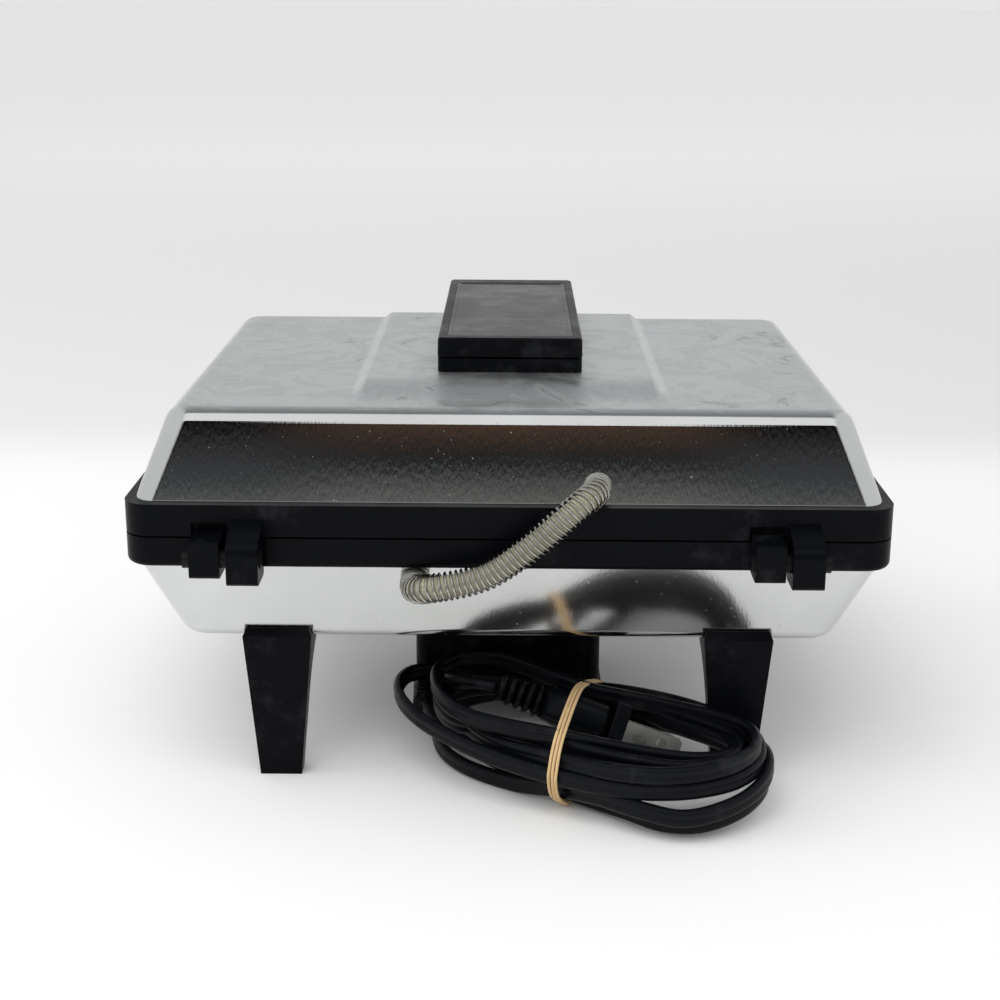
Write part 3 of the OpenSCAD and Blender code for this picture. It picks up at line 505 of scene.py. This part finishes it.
class ArmourSettings(bpy.types.PropertyGroup):
    diameter: bpy.props.FloatProperty(name="Diameter", description="Outside of the wire coil", default=0.0083, unit="LENGTH")
    wire: bpy.props.FloatProperty(name="Wire", description="Thickness of the wire", default=0.00085, unit="LENGTH")
    pitch: bpy.props.FloatProperty(name="Pitch", description="Distance between turns", default=0.0016, unit="LENGTH")
    sleeve: bpy.props.FloatProperty(name="Sleeve", description="Diameter of the woven sleeve", default=0.0061, unit="LENGTH")


class CoverSettings(bpy.types.PropertyGroup):
    sheet: bpy.props.FloatProperty(name="Sheet", description="Thickness of the chrome sheet", default=0.0009, unit="LENGTH")
    corner: bpy.props.FloatProperty(
        name="Corner", description="Plan radius of the corners at the ring", default=0.0062, unit="LENGTH")
    top_corner: bpy.props.FloatProperty(
        name="Top corner", description="Plan radius of the corners at the top", default=0.0068, unit="LENGTH")
    edge: bpy.props.FloatProperty(name="Edge", description="Radius of the pressed edge", default=0.006, unit="LENGTH")
    panel_rise: bpy.props.FloatProperty(
        name="Panel rise", description="Height of the raised centre panel", default=PANEL_RISE, unit="LENGTH")
    panel_width: bpy.props.FloatProperty(
        name="Panel width", description="Width of the raised centre panel", default=0.084, unit="LENGTH")


class MouldingSettings(bpy.types.PropertyGroup):
    ring: bpy.props.FloatProperty(name="Ring edge", description="Edge radius of the frame rings", default=0.0006, unit="LENGTH")
    handle: bpy.props.FloatProperty(name="Handle edge", description="Edge radius of the handle", default=0.0003, unit="LENGTH")
    leg: bpy.props.FloatProperty(name="Leg edge", description="Edge radius of the legs", default=0.0006, unit="LENGTH")
    box: bpy.props.FloatProperty(name="Box edge", description="Edge radius of the wiring box", default=0.0005, unit="LENGTH")


class StageSettings(bpy.types.PropertyGroup):
    lens: bpy.props.FloatProperty(name="Lens", description="Focal length of the camera in millimetres", default=61.67)
    table: bpy.props.FloatVectorProperty(
        name="Table", description="Colour of the table", subtype="COLOR", default=(0.89, 0.89, 0.885))
    # Wall: the grey painted on the table behind the toaster. It is the wall's own off-white tone with painted shade in
    # it.
    wall: bpy.props.FloatVectorProperty(
        name="Wall", description="Colour behind the table", subtype="COLOR", default=(0.77, 0.77, 0.76))


# ---------------------------------------------------------------- operators


class TOASTER_OT_camera(bpy.types.Operator):
    """Places the camera behind the toaster, looking at its hinge side"""
    bl_idname = "toaster.camera"
    bl_label = "Camera"

    def execute(self, context):
        settings = context.scene.toaster_stage
        pitch, yaw, roll = math.radians(16.27), math.radians(-0.39), math.radians(0.34)
        ahead = Vector((-math.sin(yaw) * math.cos(pitch), -math.cos(yaw) * math.cos(pitch), -math.sin(pitch)))
        right = Vector((-math.cos(yaw), math.sin(yaw), 0))
        up = right.cross(ahead)
        side = right * math.cos(roll) + up * math.sin(roll)
        top = up * math.cos(roll) - right * math.sin(roll)
        data = bpy.data.cameras.new("camera")
        data.sensor_width = 36
        data.lens = settings.lens
        data.clip_start = 0.01
        camera = bpy.data.objects.new("camera", data)
        place = Matrix((side, top, -ahead)).transposed().to_4x4()
        place.translation = Vector((-0.0007, 0.5345, 0.220))
        camera.matrix_world = place
        context.scene.collection.objects.link(camera)
        context.scene.camera = camera
        return {"FINISHED"}


class TOASTER_OT_cord(bpy.types.Operator):
    """Winds the flat mains cord into its tied hank"""
    bl_idname = "toaster.cord"
    bl_label = "Mains cord"

    def execute(self, context):
        settings = context.scene.toaster_cord
        points = [Vector(p) * MM for p in CORD_LEAD] + [hank_point(*p) for p in CORD_TURNS]
        route = even_route(smooth_route(points, 8), 0.0022)
        rolls = [math.radians(10) * noise.noise(p * 18) for p in route]
        for i in range(14):
            rolls[-1 - i] += math.radians(74) * (1 - i / 14)
        bm = bmesh.new()
        sweep_section(bm, twin_section(settings.width, settings.thickness, 7), route, rolls)
        cord = finish_piece("mains_cord", bm, finish("cord_black"), "base")
        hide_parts("cord_hank", "cord_lead", "plug_tail")
        context.scene["cord_route"] = [list(p) for p in route]
        return {"FINISHED"}


class TOASTER_OT_cord_relief(bpy.types.Operator):
    """Makes the ribbed strain relief where the cord leaves the wiring box"""
    bl_idname = "toaster.cord_relief"
    bl_label = "Strain relief"

    def execute(self, context):
        place = Matrix.Translation(RELIEF_AT * MM) @ Matrix.Rotation(math.radians(-90), 4, "X")
        bm = bmesh.new()
        ribs = 7
        pitch = RELIEF_LENGTH / ribs * MM
        for i in range(ribs):
            radius = (3.9 - 0.08 * i) * MM
            for low, high, r in ((0.0, 0.62, radius), (0.6, 1.02, 3.15 * MM)):
                ring = bmesh.ops.create_cone(
                    bm, cap_ends=True, segments=24, radius1=r, radius2=r, depth=(high - low) * pitch,
                    matrix=place @ Matrix.Translation((0, 0, (i + (low + high) / 2) * pitch)))
                if r == radius:
                    rim = [e for v in ring["verts"] for e in v.link_edges if len(e.link_faces) == 2
                           and any(len(f.verts) > 4 for f in e.link_faces)]
                    bmesh.ops.bevel(bm, geom=list(set(rim)), offset=0.0004, segments=2, profile=0.5,
                                    affect="EDGES", material=-1)
        relief = finish_piece("cord_strain_relief", bm, finish("plug_black"), "base")
        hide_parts("cord_relief")
        return {"FINISHED"}


class TOASTER_OT_plug(bpy.types.Operator):
    """Makes the moulded plug with its ribs, shaped body and flange"""
    bl_idname = "toaster.plug"
    bl_label = "Plug"

    def execute(self, context):
        place = plug_place()
        lying = place @ Matrix.Rotation(math.radians(90), 4, "Y")
        bm = bmesh.new()
        ribs = 5
        pitch = PLUG_RELIEF / ribs * MM
        for i in range(ribs):
            radius = (4.1 + 0.22 * i) * MM
            for low, high, r in ((0.0, 0.6, radius), (0.55, 1.05, 3.3 * MM)):
                ring = bmesh.ops.create_cone(
                    bm, cap_ends=True, segments=28, radius1=r, radius2=r, depth=(high - low) * pitch,
                    matrix=lying @ Matrix.Translation((0, 0, (i + (low + high) / 2) * pitch)))
                if r == radius:
                    rim = [e for v in ring["verts"] for e in v.link_edges if len(e.link_faces) == 2
                           and any(len(f.verts) > 4 for f in e.link_faces)]
                    bmesh.ops.bevel(bm, geom=list(set(rim)), offset=0.0007, segments=3, profile=0.5,
                                    affect="EDGES", material=-1)
        self.add_body(bm, place)
        self.add_block(bm, place, PLUG_LENGTH - PLUG_FLANGE, PLUG_LENGTH, 23.0, 15.6, 0.7)
        bmesh.ops.recalc_face_normals(bm, faces=bm.faces)
        plug = finish_piece("plug_moulding", bm, finish("plug_black"), "base")
        plug.modifiers.new("even_normals", "WEIGHTED_NORMAL").keep_sharp = True
        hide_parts("plug_body")
        return {"FINISHED"}

    def add_block(self, bm, place, start, end, width, height, edge):
        size = Matrix.Diagonal(((end - start) * MM, width * MM, height * MM, 1))
        made = bmesh.ops.create_cube(bm, size=1, matrix=place @ Matrix.Translation(((start + end) / 2 * MM, 0, 0)) @ size)
        edges = {e for v in made["verts"] for e in v.link_edges}
        bmesh.ops.bevel(bm, geom=list(edges), offset=edge * MM, segments=3, profile=0.5, affect="EDGES", material=-1)

    def add_body(self, bm, place):
        """Body that widens from the ribs in an arc and narrows a little before the flange."""
        stations = [(PLUG_RELIEF - 0.6, 8.6, 8.8), (PLUG_RELIEF + 1, 13, 9.8), (PLUG_RELIEF + 3.4, 17.2, 10.8),
                    (PLUG_RELIEF + 7, 19.6, 11.4), (PLUG_RELIEF + 12, 20, 11.4), (PLUG_RELIEF + 17, 19.4, 11.4),
                    (PLUG_LENGTH - PLUG_FLANGE + 0.4, 19.4, 11.4)]
        loop = None
        for x, width, height in stations:
            ring = bmesh.ops.create_circle(bm, cap_ends=False, segments=32, radius=1)["verts"]
            for v in ring:
                a = math.atan2(v.co.y, v.co.x)
                squared = 0.55
                y = math.copysign(abs(math.cos(a)) ** squared, math.cos(a)) * width / 2
                z = math.copysign(abs(math.sin(a)) ** squared, math.sin(a)) * height / 2
                v.co = place @ (Vector((x, y, z)) * MM)
            edges = list({e for v in ring for e in v.link_edges})
            if loop:
                bmesh.ops.bridge_loops(bm, edges=loop + edges)
            else:
                bmesh.ops.contextual_create(bm, geom=edges)
            loop = edges
        bmesh.ops.contextual_create(bm, geom=loop)


class TOASTER_OT_plug_pins(bpy.types.Operator):
    """Cuts the two flat blades of the plug, each with its hole and chamfered end"""
    bl_idname = "toaster.plug_pins"
    bl_label = "Plug blades"

    def execute(self, context):
        settings = context.scene.toaster_pins
        place = plug_place()
        bm = bmesh.new()
        for side in (-1, 1):
            self.add_blade(bm, settings, place @ Matrix.Translation((PLUG_LENGTH * MM, side * settings.spread / 2, 0)))
        bmesh.ops.recalc_face_normals(bm, faces=bm.faces)
        blades = finish_piece("plug_pins", bm, finish("blade_metal"), "base", smooth=False)
        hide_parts("plug_blades")
        return {"FINISHED"}

    def add_blade(self, bm, settings, place):
        """A whole blade with its hole: outline and hole filled with triangles, then thickened."""
        length, half, chamfer = settings.length, settings.width / 2, 0.0011
        hole_at, hole = settings.hole_at, settings.hole / 2
        outline = [(hole_at + hole + 0.002, half), (length - chamfer, half), (length, half - chamfer),
                   (length, -half + chamfer), (length - chamfer, -half), (hole_at + hole + 0.002, -half),
                   (-0.001, -half), (-0.001, half)]
        verts = [bm.verts.new((x, 0, z)) for x, z in outline]
        edges = [bm.edges.new((verts[i], verts[(i + 1) % len(verts)])) for i in range(len(verts))]
        ring = bmesh.ops.create_circle(bm, cap_ends=False, segments=20, radius=hole,
                                       matrix=Matrix.Translation((hole_at, 0, 0)) @ Matrix.Rotation(math.pi / 2, 4, "X"))
        rim = list({e for v in ring["verts"] for e in v.link_edges})
        made = bmesh.ops.triangle_fill(bm, use_beauty=True, use_dissolve=False, edges=edges + rim)["geom"]
        faces = [g for g in made if isinstance(g, bmesh.types.BMFace)]
        for v in {v for f in faces for v in f.verts}:
            v.co.y -= settings.thickness / 2
        grown = bmesh.ops.extrude_face_region(bm, geom=faces, use_keep_orig=True)["geom"]
        top = [g for g in grown if isinstance(g, bmesh.types.BMVert)]
        bmesh.ops.translate(bm, vec=(0, settings.thickness, 0), verts=top)
        blade = list({v for f in faces for v in f.verts}) + top
        bmesh.ops.transform(bm, matrix=place, verts=blade)


class TOASTER_OT_cord_tie(bpy.types.Operator):
    """Lays the rubber band three times round the hank and the plug"""
    bl_idname = "toaster.cord_tie"
    bl_label = "Rubber band"

    def execute(self, context):
        ring = [(28.2, -26.2, 18), (28.4, -24.4, 20.6), (31.2, -11, 25.3), (34.6, 1, 27.6), (40.8, 19.4, 25.4), (42.4, 25.8, 21.4),
                (42.8, 28.4, 16.4), (42.8, 28.8, 12.6), (42, 25.8, 6.6), (41.2, 20.2, 2), (40.4, 16.4, 0.7), (37, 4, 1.4),
                (31, -18, 7), (29, -25.6, 10.4), (28.4, -27.2, 14.4)]
        bm = bmesh.new()
        for strand, shift in enumerate((-1.1, 0.0, 1.1)):
            points = []
            for i, (along, across, height) in enumerate(ring):
                wander = 0.28 * noise.noise(Vector((strand * 3.7, i * 0.6, 0)))
                points.append(hank_point(along + shift + wander, across, height))
            closed = points[-2:] + points + points[:3]
            route = smooth_route(closed, 4)[8:-11]
            bands = []
            for i in range(0, len(route)):
                bands.append(route[i])
            self.closed_sweep(bm, bands, 0.00085, 0.0008)
        tie = finish_piece("rubber_band", bm, finish("tan_rubber"), "base")
        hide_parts("cord_tie")
        return {"FINISHED"}

    def closed_sweep(self, bm, route, width, thickness):
        middle = sum(route, Vector()) / len(route)
        first = None
        last = None
        for i, p in enumerate(route):
            ahead = (route[(i + 1) % len(route)] - route[i - 1]).normalized()
            out = (p - middle)
            out = (out - ahead * out.dot(ahead)).normalized()
            side = ahead.cross(out)
            verts = [bm.verts.new(p + out * (thickness / 2 * y) + side * (width / 2 * x))
                     for x, y in ((-1, -0.6), (-0.6, -1), (0.6, -1), (1, -0.6), (1, 0.6), (0.6, 1), (-0.6, 1), (-1, 0.6))]
            edges = [bm.edges.new((verts[k], verts[(k + 1) % 8])) for k in range(8)]
            if last:
                bmesh.ops.bridge_loops(bm, edges=last + edges)
            else:
                first = edges
            last = edges
        bmesh.ops.bridge_loops(bm, edges=last + first)
        bmesh.ops.recalc_face_normals(bm, faces=bm.faces)


class TOASTER_OT_declare_cord(bpy.types.Operator):
    """Empty step: it declares nothing about the mains cord."""
    bl_idname = "toaster.declare_cord"
    bl_label = "Declare the cord"

    def execute(self, context):
        return {"FINISHED"}


class TOASTER_OT_armour(bpy.types.Operator):
    """Winds the wire armour over the woven sleeve between the base and the lid"""
    bl_idname = "toaster.armour"
    bl_label = "Armoured lead"

    def execute(self, context):
        settings = context.scene.toaster_armour
        points = [Vector(p) * MM for p in ARMOUR_ROUTE]
        route = even_route(smooth_route(points, 12), settings.pitch / 16)
        bm = bmesh.new()
        side = Vector((0.5, 0, 0.866))
        radius = (settings.diameter - settings.wire) / 2
        helix = []
        for i in range(8, len(route) - 8):
            ahead = (route[i + 1] - route[i - 1]).normalized()
            u = ahead.cross(side).normalized()
            v = ahead.cross(u)
            a = 2 * math.pi * i / 16
            helix.append(route[i] + (u * math.cos(a) + v * math.sin(a)) * radius)
        self.sweep_wire(bm, helix, settings.wire / 2, 6)
        coil = finish_piece("armour_spring", bm, finish("armour_wire"), None)
        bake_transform(coil)
        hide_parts("armour_coil")
        bm = bmesh.new()
        sweep_section(bm, oval_section(settings.sleeve, settings.sleeve, 20), even_route(route, 0.0015))
        sleeve = finish_piece("armour_sleeve", bm, finish("woven_glass"), None)
        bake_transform(sleeve)
        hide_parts("woven_sleeve")
        self.bush("lid_bush_ring", "lid", "lid_bush", LID_PORT * MM)
        self.bush("base_bush_ring", "base", "base_bush", BASE_PORT * MM)
        return {"FINISHED"}

    def bush(self, name, body, node, port):
        """Ring that holds the armour behind the sheet."""
        bm = bmesh.new()
        section = [(0.0042, -0.0045), (0.0054, -0.0045), (0.0054, -0.0028), (0.0042, -0.0028)]
        verts = [bm.verts.new(port + Vector((radius, depth, 0))) for radius, depth in section]
        edges = [bm.edges.new((verts[i], verts[(i + 1) % 4])) for i in range(4)]
        bmesh.ops.spin(bm, geom=verts + edges, cent=port, axis=(0, 1, 0), dvec=(0, 0, 0), angle=2 * math.pi, steps=32,
                       use_merge=True, use_duplicate=False)
        bmesh.ops.recalc_face_normals(bm, faces=bm.faces)
        ring = finish_piece(name, bm, finish("black_plastic"), body, smooth=False)
        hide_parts(node)

    def sweep_wire(self, bm, helix, radius, sides):
        """Round wire along a helix; each section is square to the wire."""
        section = oval_section(2 * radius, 2 * radius, sides)
        sweep_section(bm, section, helix)


class TOASTER_OT_covers(bpy.types.Operator):
    """Presses the chrome covers of the lid and the base"""
    bl_idname = "toaster.covers"
    bl_label = "Chrome covers"

    def execute(self, context):
        lid = self.drawn_pan(context, LID_BOX[0].z, LID_TOP, LID_LEAN)
        self.raise_panel(context, lid)
        self.give_thickness(context, lid, "lid_cover", "lid_chrome", "lid", "lid_shell")
        base = self.drawn_pan(context, BASE_BOX[1].z, BASE_BOX[0].z, BASE_LEAN)
        self.give_thickness(context, base, "base_cover", "base_chrome", "base", "base_shell")
        return {"FINISHED"}

    def drawn_pan(self, context, rim, top, lean):
        """Rounded outlines bridged from the rim to the flat: the walls lean in and the corners open out."""
        settings = context.scene.toaster_covers
        half_w, half_d = (LID_BOX[1].x - LID_BOX[0].x) / 2, (LID_BOX[1].y - LID_BOX[0].y) / 2
        facing = math.copysign(1.0, top - rim)
        ring_face = rim + facing * COVER_SKIRT
        rise = abs(top - ring_face)
        tilt = math.atan(lean[0])
        bm = bmesh.new()
        edges = self.outline(bm, half_w, half_d, settings.corner, rim)
        levels = [(0.0, 0.0), (0.0004, 0.0)]
        for i in range(11):
            turn = tilt + (math.pi / 2 - tilt) * i / 10
            up = rise - settings.edge + settings.edge * math.sin(turn)
            bend = lean[0] * (rise - up) + settings.edge * (math.tan((math.pi / 2 - tilt) / 2) - math.cos(turn))
            levels.append((up, bend))
        for up, bend in levels:
            corner = settings.corner + (settings.top_corner - settings.corner) * up / rise - bend
            above = self.outline(bm, half_w - lean[0] * up - bend, half_d - lean[1] * up - bend, corner,
                                 ring_face + facing * up)
            bmesh.ops.bridge_loops(bm, edges=edges + above)
            edges = above
        bmesh.ops.contextual_create(bm, geom=edges)
        return bm

    def outline(self, bm, half_w, half_d, corner, z):
        """A circle of points moved out into the four corners of a rounded rectangle."""
        count = 52
        ring = bmesh.ops.create_circle(bm, cap_ends=False, segments=count, radius=1)["verts"]
        ring.sort(key=lambda v: math.atan2(v.co.y, v.co.x) % (2 * math.pi))
        for i, v in enumerate(ring):
            quarter, step = divmod(i, count // 4)
            turn = math.pi / 2 * (quarter + step / (count // 4 - 1))
            side_x = 1 if quarter in (0, 3) else -1
            side_y = 1 if quarter in (0, 1) else -1
            v.co = (side_x * (half_w - corner) + corner * math.cos(turn),
                    COVER_Y + side_y * (half_d - corner) + corner * math.sin(turn), z)
        return list({e for v in ring for e in v.link_edges})

    def cut_top(self, bm, at, normal):
        faces = [f for f in bm.faces if abs(f.normal.z) > 0.999]
        geom = faces + list({e for f in faces for e in f.edges}) + list({v for f in faces for v in f.verts})
        bmesh.ops.bisect_plane(bm, geom=geom, plane_co=at, plane_no=normal)

    def raise_panel(self, context, bm):
        """Lifts the centre of the lid into a panel that dies away towards the hinges."""
        settings = context.scene.toaster_covers
        step = 0.0045
        half = settings.panel_width / 2
        flat = max(v.co.y - COVER_Y for v in bm.verts if abs(v.co.z - LID_TOP) < 1e-6)
        front, back = COVER_Y - flat, COVER_Y + flat - 0.006
        bm.normal_update()
        for side in (-1, 1):
            for part in (0.0, 0.12, 0.3, 0.5, 0.7, 0.88, 1.0):
                self.cut_top(bm, Vector((side * (half + step * part), 0, 0)), Vector((1, 0, 0)))
        for part in (0.15, 0.35, 0.6, 0.8, 1.0):
            self.cut_top(bm, Vector((0, front + step * part, 0)), Vector((0, 1, 0)))
        for part in (0.0, 0.1, 0.25, 0.4, 0.55, 0.7, 0.85, 1.0):
            self.cut_top(bm, Vector((0, back - PANEL_RUN_OUT * part, 0)), Vector((0, 1, 0)))

        def ease(t):
            t = max(0.0, min(1.0, t))
            return t * t * (3 - 2 * t)

        for v in bm.verts:
            if abs(v.co.z - LID_TOP) < 1e-6:
                across = ease((half + step - abs(v.co.x)) / step)
                near = ease((v.co.y - front) / step)
                far = ease((back - v.co.y) / PANEL_RUN_OUT)
                v.co.z += settings.panel_rise * across * near * far

    def give_thickness(self, context, bm, name, material, body, node):
        bmesh.ops.recalc_face_normals(bm, faces=bm.faces)
        centre = Vector((0, COVER_Y, 0.076))
        out = sum((f.normal.dot(f.calc_center_median() - centre) for f in bm.faces))
        if out < 0:
            bmesh.ops.reverse_faces(bm, faces=bm.faces)
        cover = finish_piece(name, bm, finish(material), body)
        wall = cover.modifiers.new("sheet", "SOLIDIFY")
        wall.thickness = context.scene.toaster_covers.sheet
        wall.offset = -1
        cover.modifiers.new("even_normals", "WEIGHTED_NORMAL").keep_sharp = True
        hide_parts(node)


class TOASTER_OT_mouldings(bpy.types.Operator):
    """Rounds the outer edges of the black mouldings"""
    bl_idname = "toaster.mouldings"
    bl_label = "Mouldings"

    def execute(self, context):
        radius = context.scene.toaster_mouldings
        for node, body, edge in (
                ("lid_frame", "lid", radius.ring), ("base_frame", "base", radius.ring),
                ("handle_base", "lid", radius.handle), ("handle_cap", "lid", radius.handle),
                ("rear_leg_left", "base", radius.leg), ("rear_leg_right", "base", radius.leg),
                ("front_leg_left", "base", radius.leg), ("front_leg_right", "base", radius.leg),
                ("wiring_box", "base", radius.box), ("wiring_cover", "base", radius.box)):
            self.rounded_copy(node, body, edge)
        return {"FINISHED"}

    def rounded_copy(self, node, body, edge):
        bm = bmesh.new()
        bm.from_mesh(NODES[node].data)
        bmesh.ops.remove_doubles(bm, verts=bm.verts, dist=0.00001)
        bmesh.ops.dissolve_limit(bm, angle_limit=math.radians(1), verts=bm.verts, edges=bm.edges)
        outer = [e for e in bm.edges if len(e.link_faces) == 2 and e.is_convex
                 and e.calc_face_angle() > math.radians(40) and e.calc_length() > 2.5 * edge]
        bmesh.ops.bevel(bm, geom=outer, offset=edge, segments=3, profile=0.5, affect="EDGES", material=-1,
                        clamp_overlap=True)
        for e in bm.edges:
            e.smooth = len(e.link_faces) == 2 and e.calc_face_angle() < math.radians(34)
        piece = finish_piece(node + "_moulding", bm, finish("black_plastic"), body)
        piece.modifiers.new("even_normals", "WEIGHTED_NORMAL").keep_sharp = True
        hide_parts(node)


class TOASTER_OT_finishes(bpy.types.Operator):
    """Gives every part of the frame its material"""
    bl_idname = "toaster.finishes"
    bl_label = "Finishes"

    def execute(self, context):
        by_finish = {
            "black_plastic": ["lid_frame", "base_frame", "handle_base", "handle_cap", "rear_leg_left", "rear_leg_right",
                              "front_leg_left", "front_leg_right", "wiring_box", "wiring_cover", "lid_bush", "base_bush"],
            "label_black": ["handle_label"],
            "nonstick": ["lid_plate", "base_plate"],
            "steel_screws": ["lid_plate_screws", "base_plate_screws", "handle_screws", "leg_screws",
                             "wiring_cover_screws", "lid_heater_clips", "base_heater_clips"],
            "heater_sheath": ["lid_heater", "base_heater"],
            "steel_pin": ["hinge_pin_left", "hinge_pin_right"],
            "glass_sleeving": ["thermal_fuse"],
            "ceramic": ["thermostat", "terminal_block"],
            "blade_metal": ["plug_blades"],
            "lid_chrome": ["lid_shell"],
            "base_chrome": ["base_shell"],
            "armour_wire": ["armour_coil"],
            "woven_glass": ["woven_sleeve"],
            "cord_black": ["cord_lead", "cord_hank", "plug_tail"],
            "plug_black": ["cord_relief", "plug_body"],
            "tan_rubber": ["cord_tie"],
        }
        for name, nodes in by_finish.items():
            for node in nodes:
                mesh = NODES[node].data
                mesh.materials.clear()
                mesh.materials.append(finish(name))
        return {"FINISHED"}


class TOASTER_OT_stage(bpy.types.Operator):
    """Sets the pale table, the soft lamps and what the chrome reflects"""
    bl_idname = "toaster.stage"
    bl_label = "Stage"

    def execute(self, context):
        settings = context.scene.toaster_stage
        bm = bmesh.new()
        bmesh.ops.create_circle(bm, cap_ends=True, segments=96, radius=60)
        material, tree, shader = tree_of("table")
        coords = tree.nodes.new("ShaderNodeTexCoord")
        split = tree.nodes.new("ShaderNodeSeparateXYZ")
        tree.links.new(coords.outputs["Object"], split.inputs["Vector"])
        # The table's colour paints the backdrop. Behind the toaster, a band in the wall's grey stands for the wall: its
        # own off-white tone plus the shade on it, so this is painted shade. Further back, the colour is painted lighter
        # again, up to white towards the horizon, which is painted light.
        near = map_range(tree, split.outputs["Y"], -0.38, -0.24)
        painted_wall_shade = map_range(tree, split.outputs["Y"], -2.2, -0.3)
        wall = mix_colours(tree, painted_wall_shade, (1.0, 1.0, 0.995), tuple(settings.wall))
        tree.links.new(mix_colours(tree, near, wall, tuple(settings.table)), shader.inputs["Base Color"])
        shader.inputs["Roughness"].default_value = 0.7
        shader.inputs["Specular IOR Level"].default_value = 0.2
        table = finish_piece("table", bm, material, None)
        self.lamp("top_panel", (0.25, 0.75, 1.25), (0.0, 0.05, 0.08), 1.1, 9.0)
        self.lamp("side_panel", (1.2, 0.1, 0.9), (0.0, 0.0, 0.08), 0.9, 4.0)
        self.surroundings(context)
        context.scene.view_settings.view_transform = "Standard"
        return {"FINISHED"}

    def lamp(self, name, at, target, size, power):
        data = bpy.data.lights.new(name, "AREA")
        data.shape = "SQUARE"
        data.size = size
        data.energy = power
        lamp = bpy.data.objects.new(name, data)
        lamp.location = at
        lamp.rotation_euler = (Vector(target) - Vector(at)).to_track_quat("-Z", "Y").to_euler()
        lamp.visible_glossy = False
        bpy.context.scene.collection.objects.link(lamp)

    def surroundings(self, context):
        """World: even pale light, and for reflections a dark room behind a pale ceiling panel."""
        world = bpy.data.worlds.new("surroundings")
        world.use_nodes = True
        context.scene.world = world
        tree = world.node_tree
        tree.nodes.clear()
        out = tree.nodes.new("ShaderNodeOutputWorld")
        coords = tree.nodes.new("ShaderNodeTexCoord")
        split = tree.nodes.new("ShaderNodeSeparateXYZ")
        tree.links.new(coords.outputs["Generated"], split.inputs["Vector"])
        angle = math_node(tree, "ARCTAN2", split.outputs["Z"], split.outputs["Y"])
        turn = math_node(tree, "DIVIDE", angle, math.pi)
        middle = ramp_of(tree, turn, [
            (0.0, (0.26, 0.26, 0.25)), (0.100, (0.20, 0.20, 0.19)), (0.1075, (0.13, 0.13, 0.125)), (0.112, (0.016, 0.019, 0.022)),
            (0.1165, (0.014, 0.016, 0.018)), (0.118, (0.10, 0.06, 0.043)), (0.1235, (0.085, 0.05, 0.036)),
            (0.126, (0.005, 0.005, 0.005)), (0.131, (0.005, 0.005, 0.005)), (0.138, (1.0, 1.0, 1.0)), (0.455, (1.0, 1.0, 1.0)),
            (0.50, (0.26, 0.27, 0.28)), (0.76, (0.30, 0.31, 0.32)), (0.84, (0.52, 0.53, 0.53)), (0.885, (0.74, 0.75, 0.75)),
            (1.0, (0.84, 0.85, 0.85))])
        ends = ramp_of(tree, turn, [
            (0.0, (0.22, 0.22, 0.22)), (0.102, (0.15, 0.15, 0.15)), (0.108, (0.06, 0.062, 0.066)), (0.116, (0.045, 0.045, 0.047)),
            (0.119, (0.006, 0.006, 0.006)), (0.185, (0.006, 0.006, 0.006)), (0.20, (1.0, 1.0, 1.0)), (0.44, (1.0, 1.0, 1.0)),
            (0.49, (0.26, 0.27, 0.28)), (0.76, (0.30, 0.31, 0.32)), (0.84, (0.52, 0.53, 0.53)), (0.885, (0.74, 0.75, 0.75)),
            (1.0, (0.84, 0.85, 0.85))])
        aside = math_node(tree, "ABSOLUTE", split.outputs["X"], 0.0)
        band = mix_colours(tree, map_range(tree, aside, 0.08, 0.16), middle, ends)
        mixed = mix_colours(tree, map_range(tree, aside, 0.26, 0.5), band, (0.72, 0.73, 0.73))
        plain = tree.nodes.new("ShaderNodeBackground")
        plain.inputs["Color"].default_value = (0.78, 0.785, 0.785, 1)
        room = tree.nodes.new("ShaderNodeBackground")
        tree.links.new(mixed, room.inputs["Color"])
        path = tree.nodes.new("ShaderNodeLightPath")
        either = tree.nodes.new("ShaderNodeMixShader")
        tree.links.new(path.outputs["Is Glossy Ray"], either.inputs["Fac"])
        tree.links.new(plain.outputs[0], either.inputs[1])
        tree.links.new(room.outputs[0], either.inputs[2])
        tree.links.new(either.outputs[0], out.inputs["Surface"])


class TOASTER_PT_panel(bpy.types.Panel):
    """Lists the steps that build the toaster's looks"""
    bl_idname = "TOASTER_PT_panel"
    bl_label = "Sandwich toaster"
    bl_space_type = "VIEW_3D"
    bl_region_type = "UI"
    bl_category = "Toaster"

    def draw(self, context):
        for step in STEPS:
            self.layout.operator(step.bl_idname)
        for group in SETTINGS:
            settings = getattr(context.scene, group)
            for name in settings.__annotations__:
                self.layout.prop(settings, name)


SETTINGS = {
    "toaster_cord": CordSettings,
    "toaster_pins": PinSettings,
    "toaster_armour": ArmourSettings,
    "toaster_covers": CoverSettings,
    "toaster_mouldings": MouldingSettings,
    "toaster_stage": StageSettings,
}

STEPS = (
    TOASTER_OT_camera,
    TOASTER_OT_cord,
    TOASTER_OT_cord_relief,
    TOASTER_OT_plug,
    TOASTER_OT_plug_pins,
    TOASTER_OT_cord_tie,
    TOASTER_OT_declare_cord,
    TOASTER_OT_armour,
    TOASTER_OT_covers,
    TOASTER_OT_mouldings,
    TOASTER_OT_finishes,
    TOASTER_OT_stage,
)


def register():
    for kind in (*SETTINGS.values(), *STEPS, TOASTER_PT_panel):
        bpy.utils.register_class(kind)
    for name, kind in SETTINGS.items():
        setattr(bpy.types.Scene, name, bpy.props.PointerProperty(type=kind))


def unregister():
    for name in SETTINGS:
        delattr(bpy.types.Scene, name)
    for kind in reversed((*SETTINGS.values(), *STEPS, TOASTER_PT_panel)):
        bpy.utils.unregister_class(kind)


def main():
    register()
    for step in STEPS:
        group, name = step.bl_idname.split(".")
        getattr(getattr(bpy.ops, group), name)()


if __name__ == "__main__":
    main()
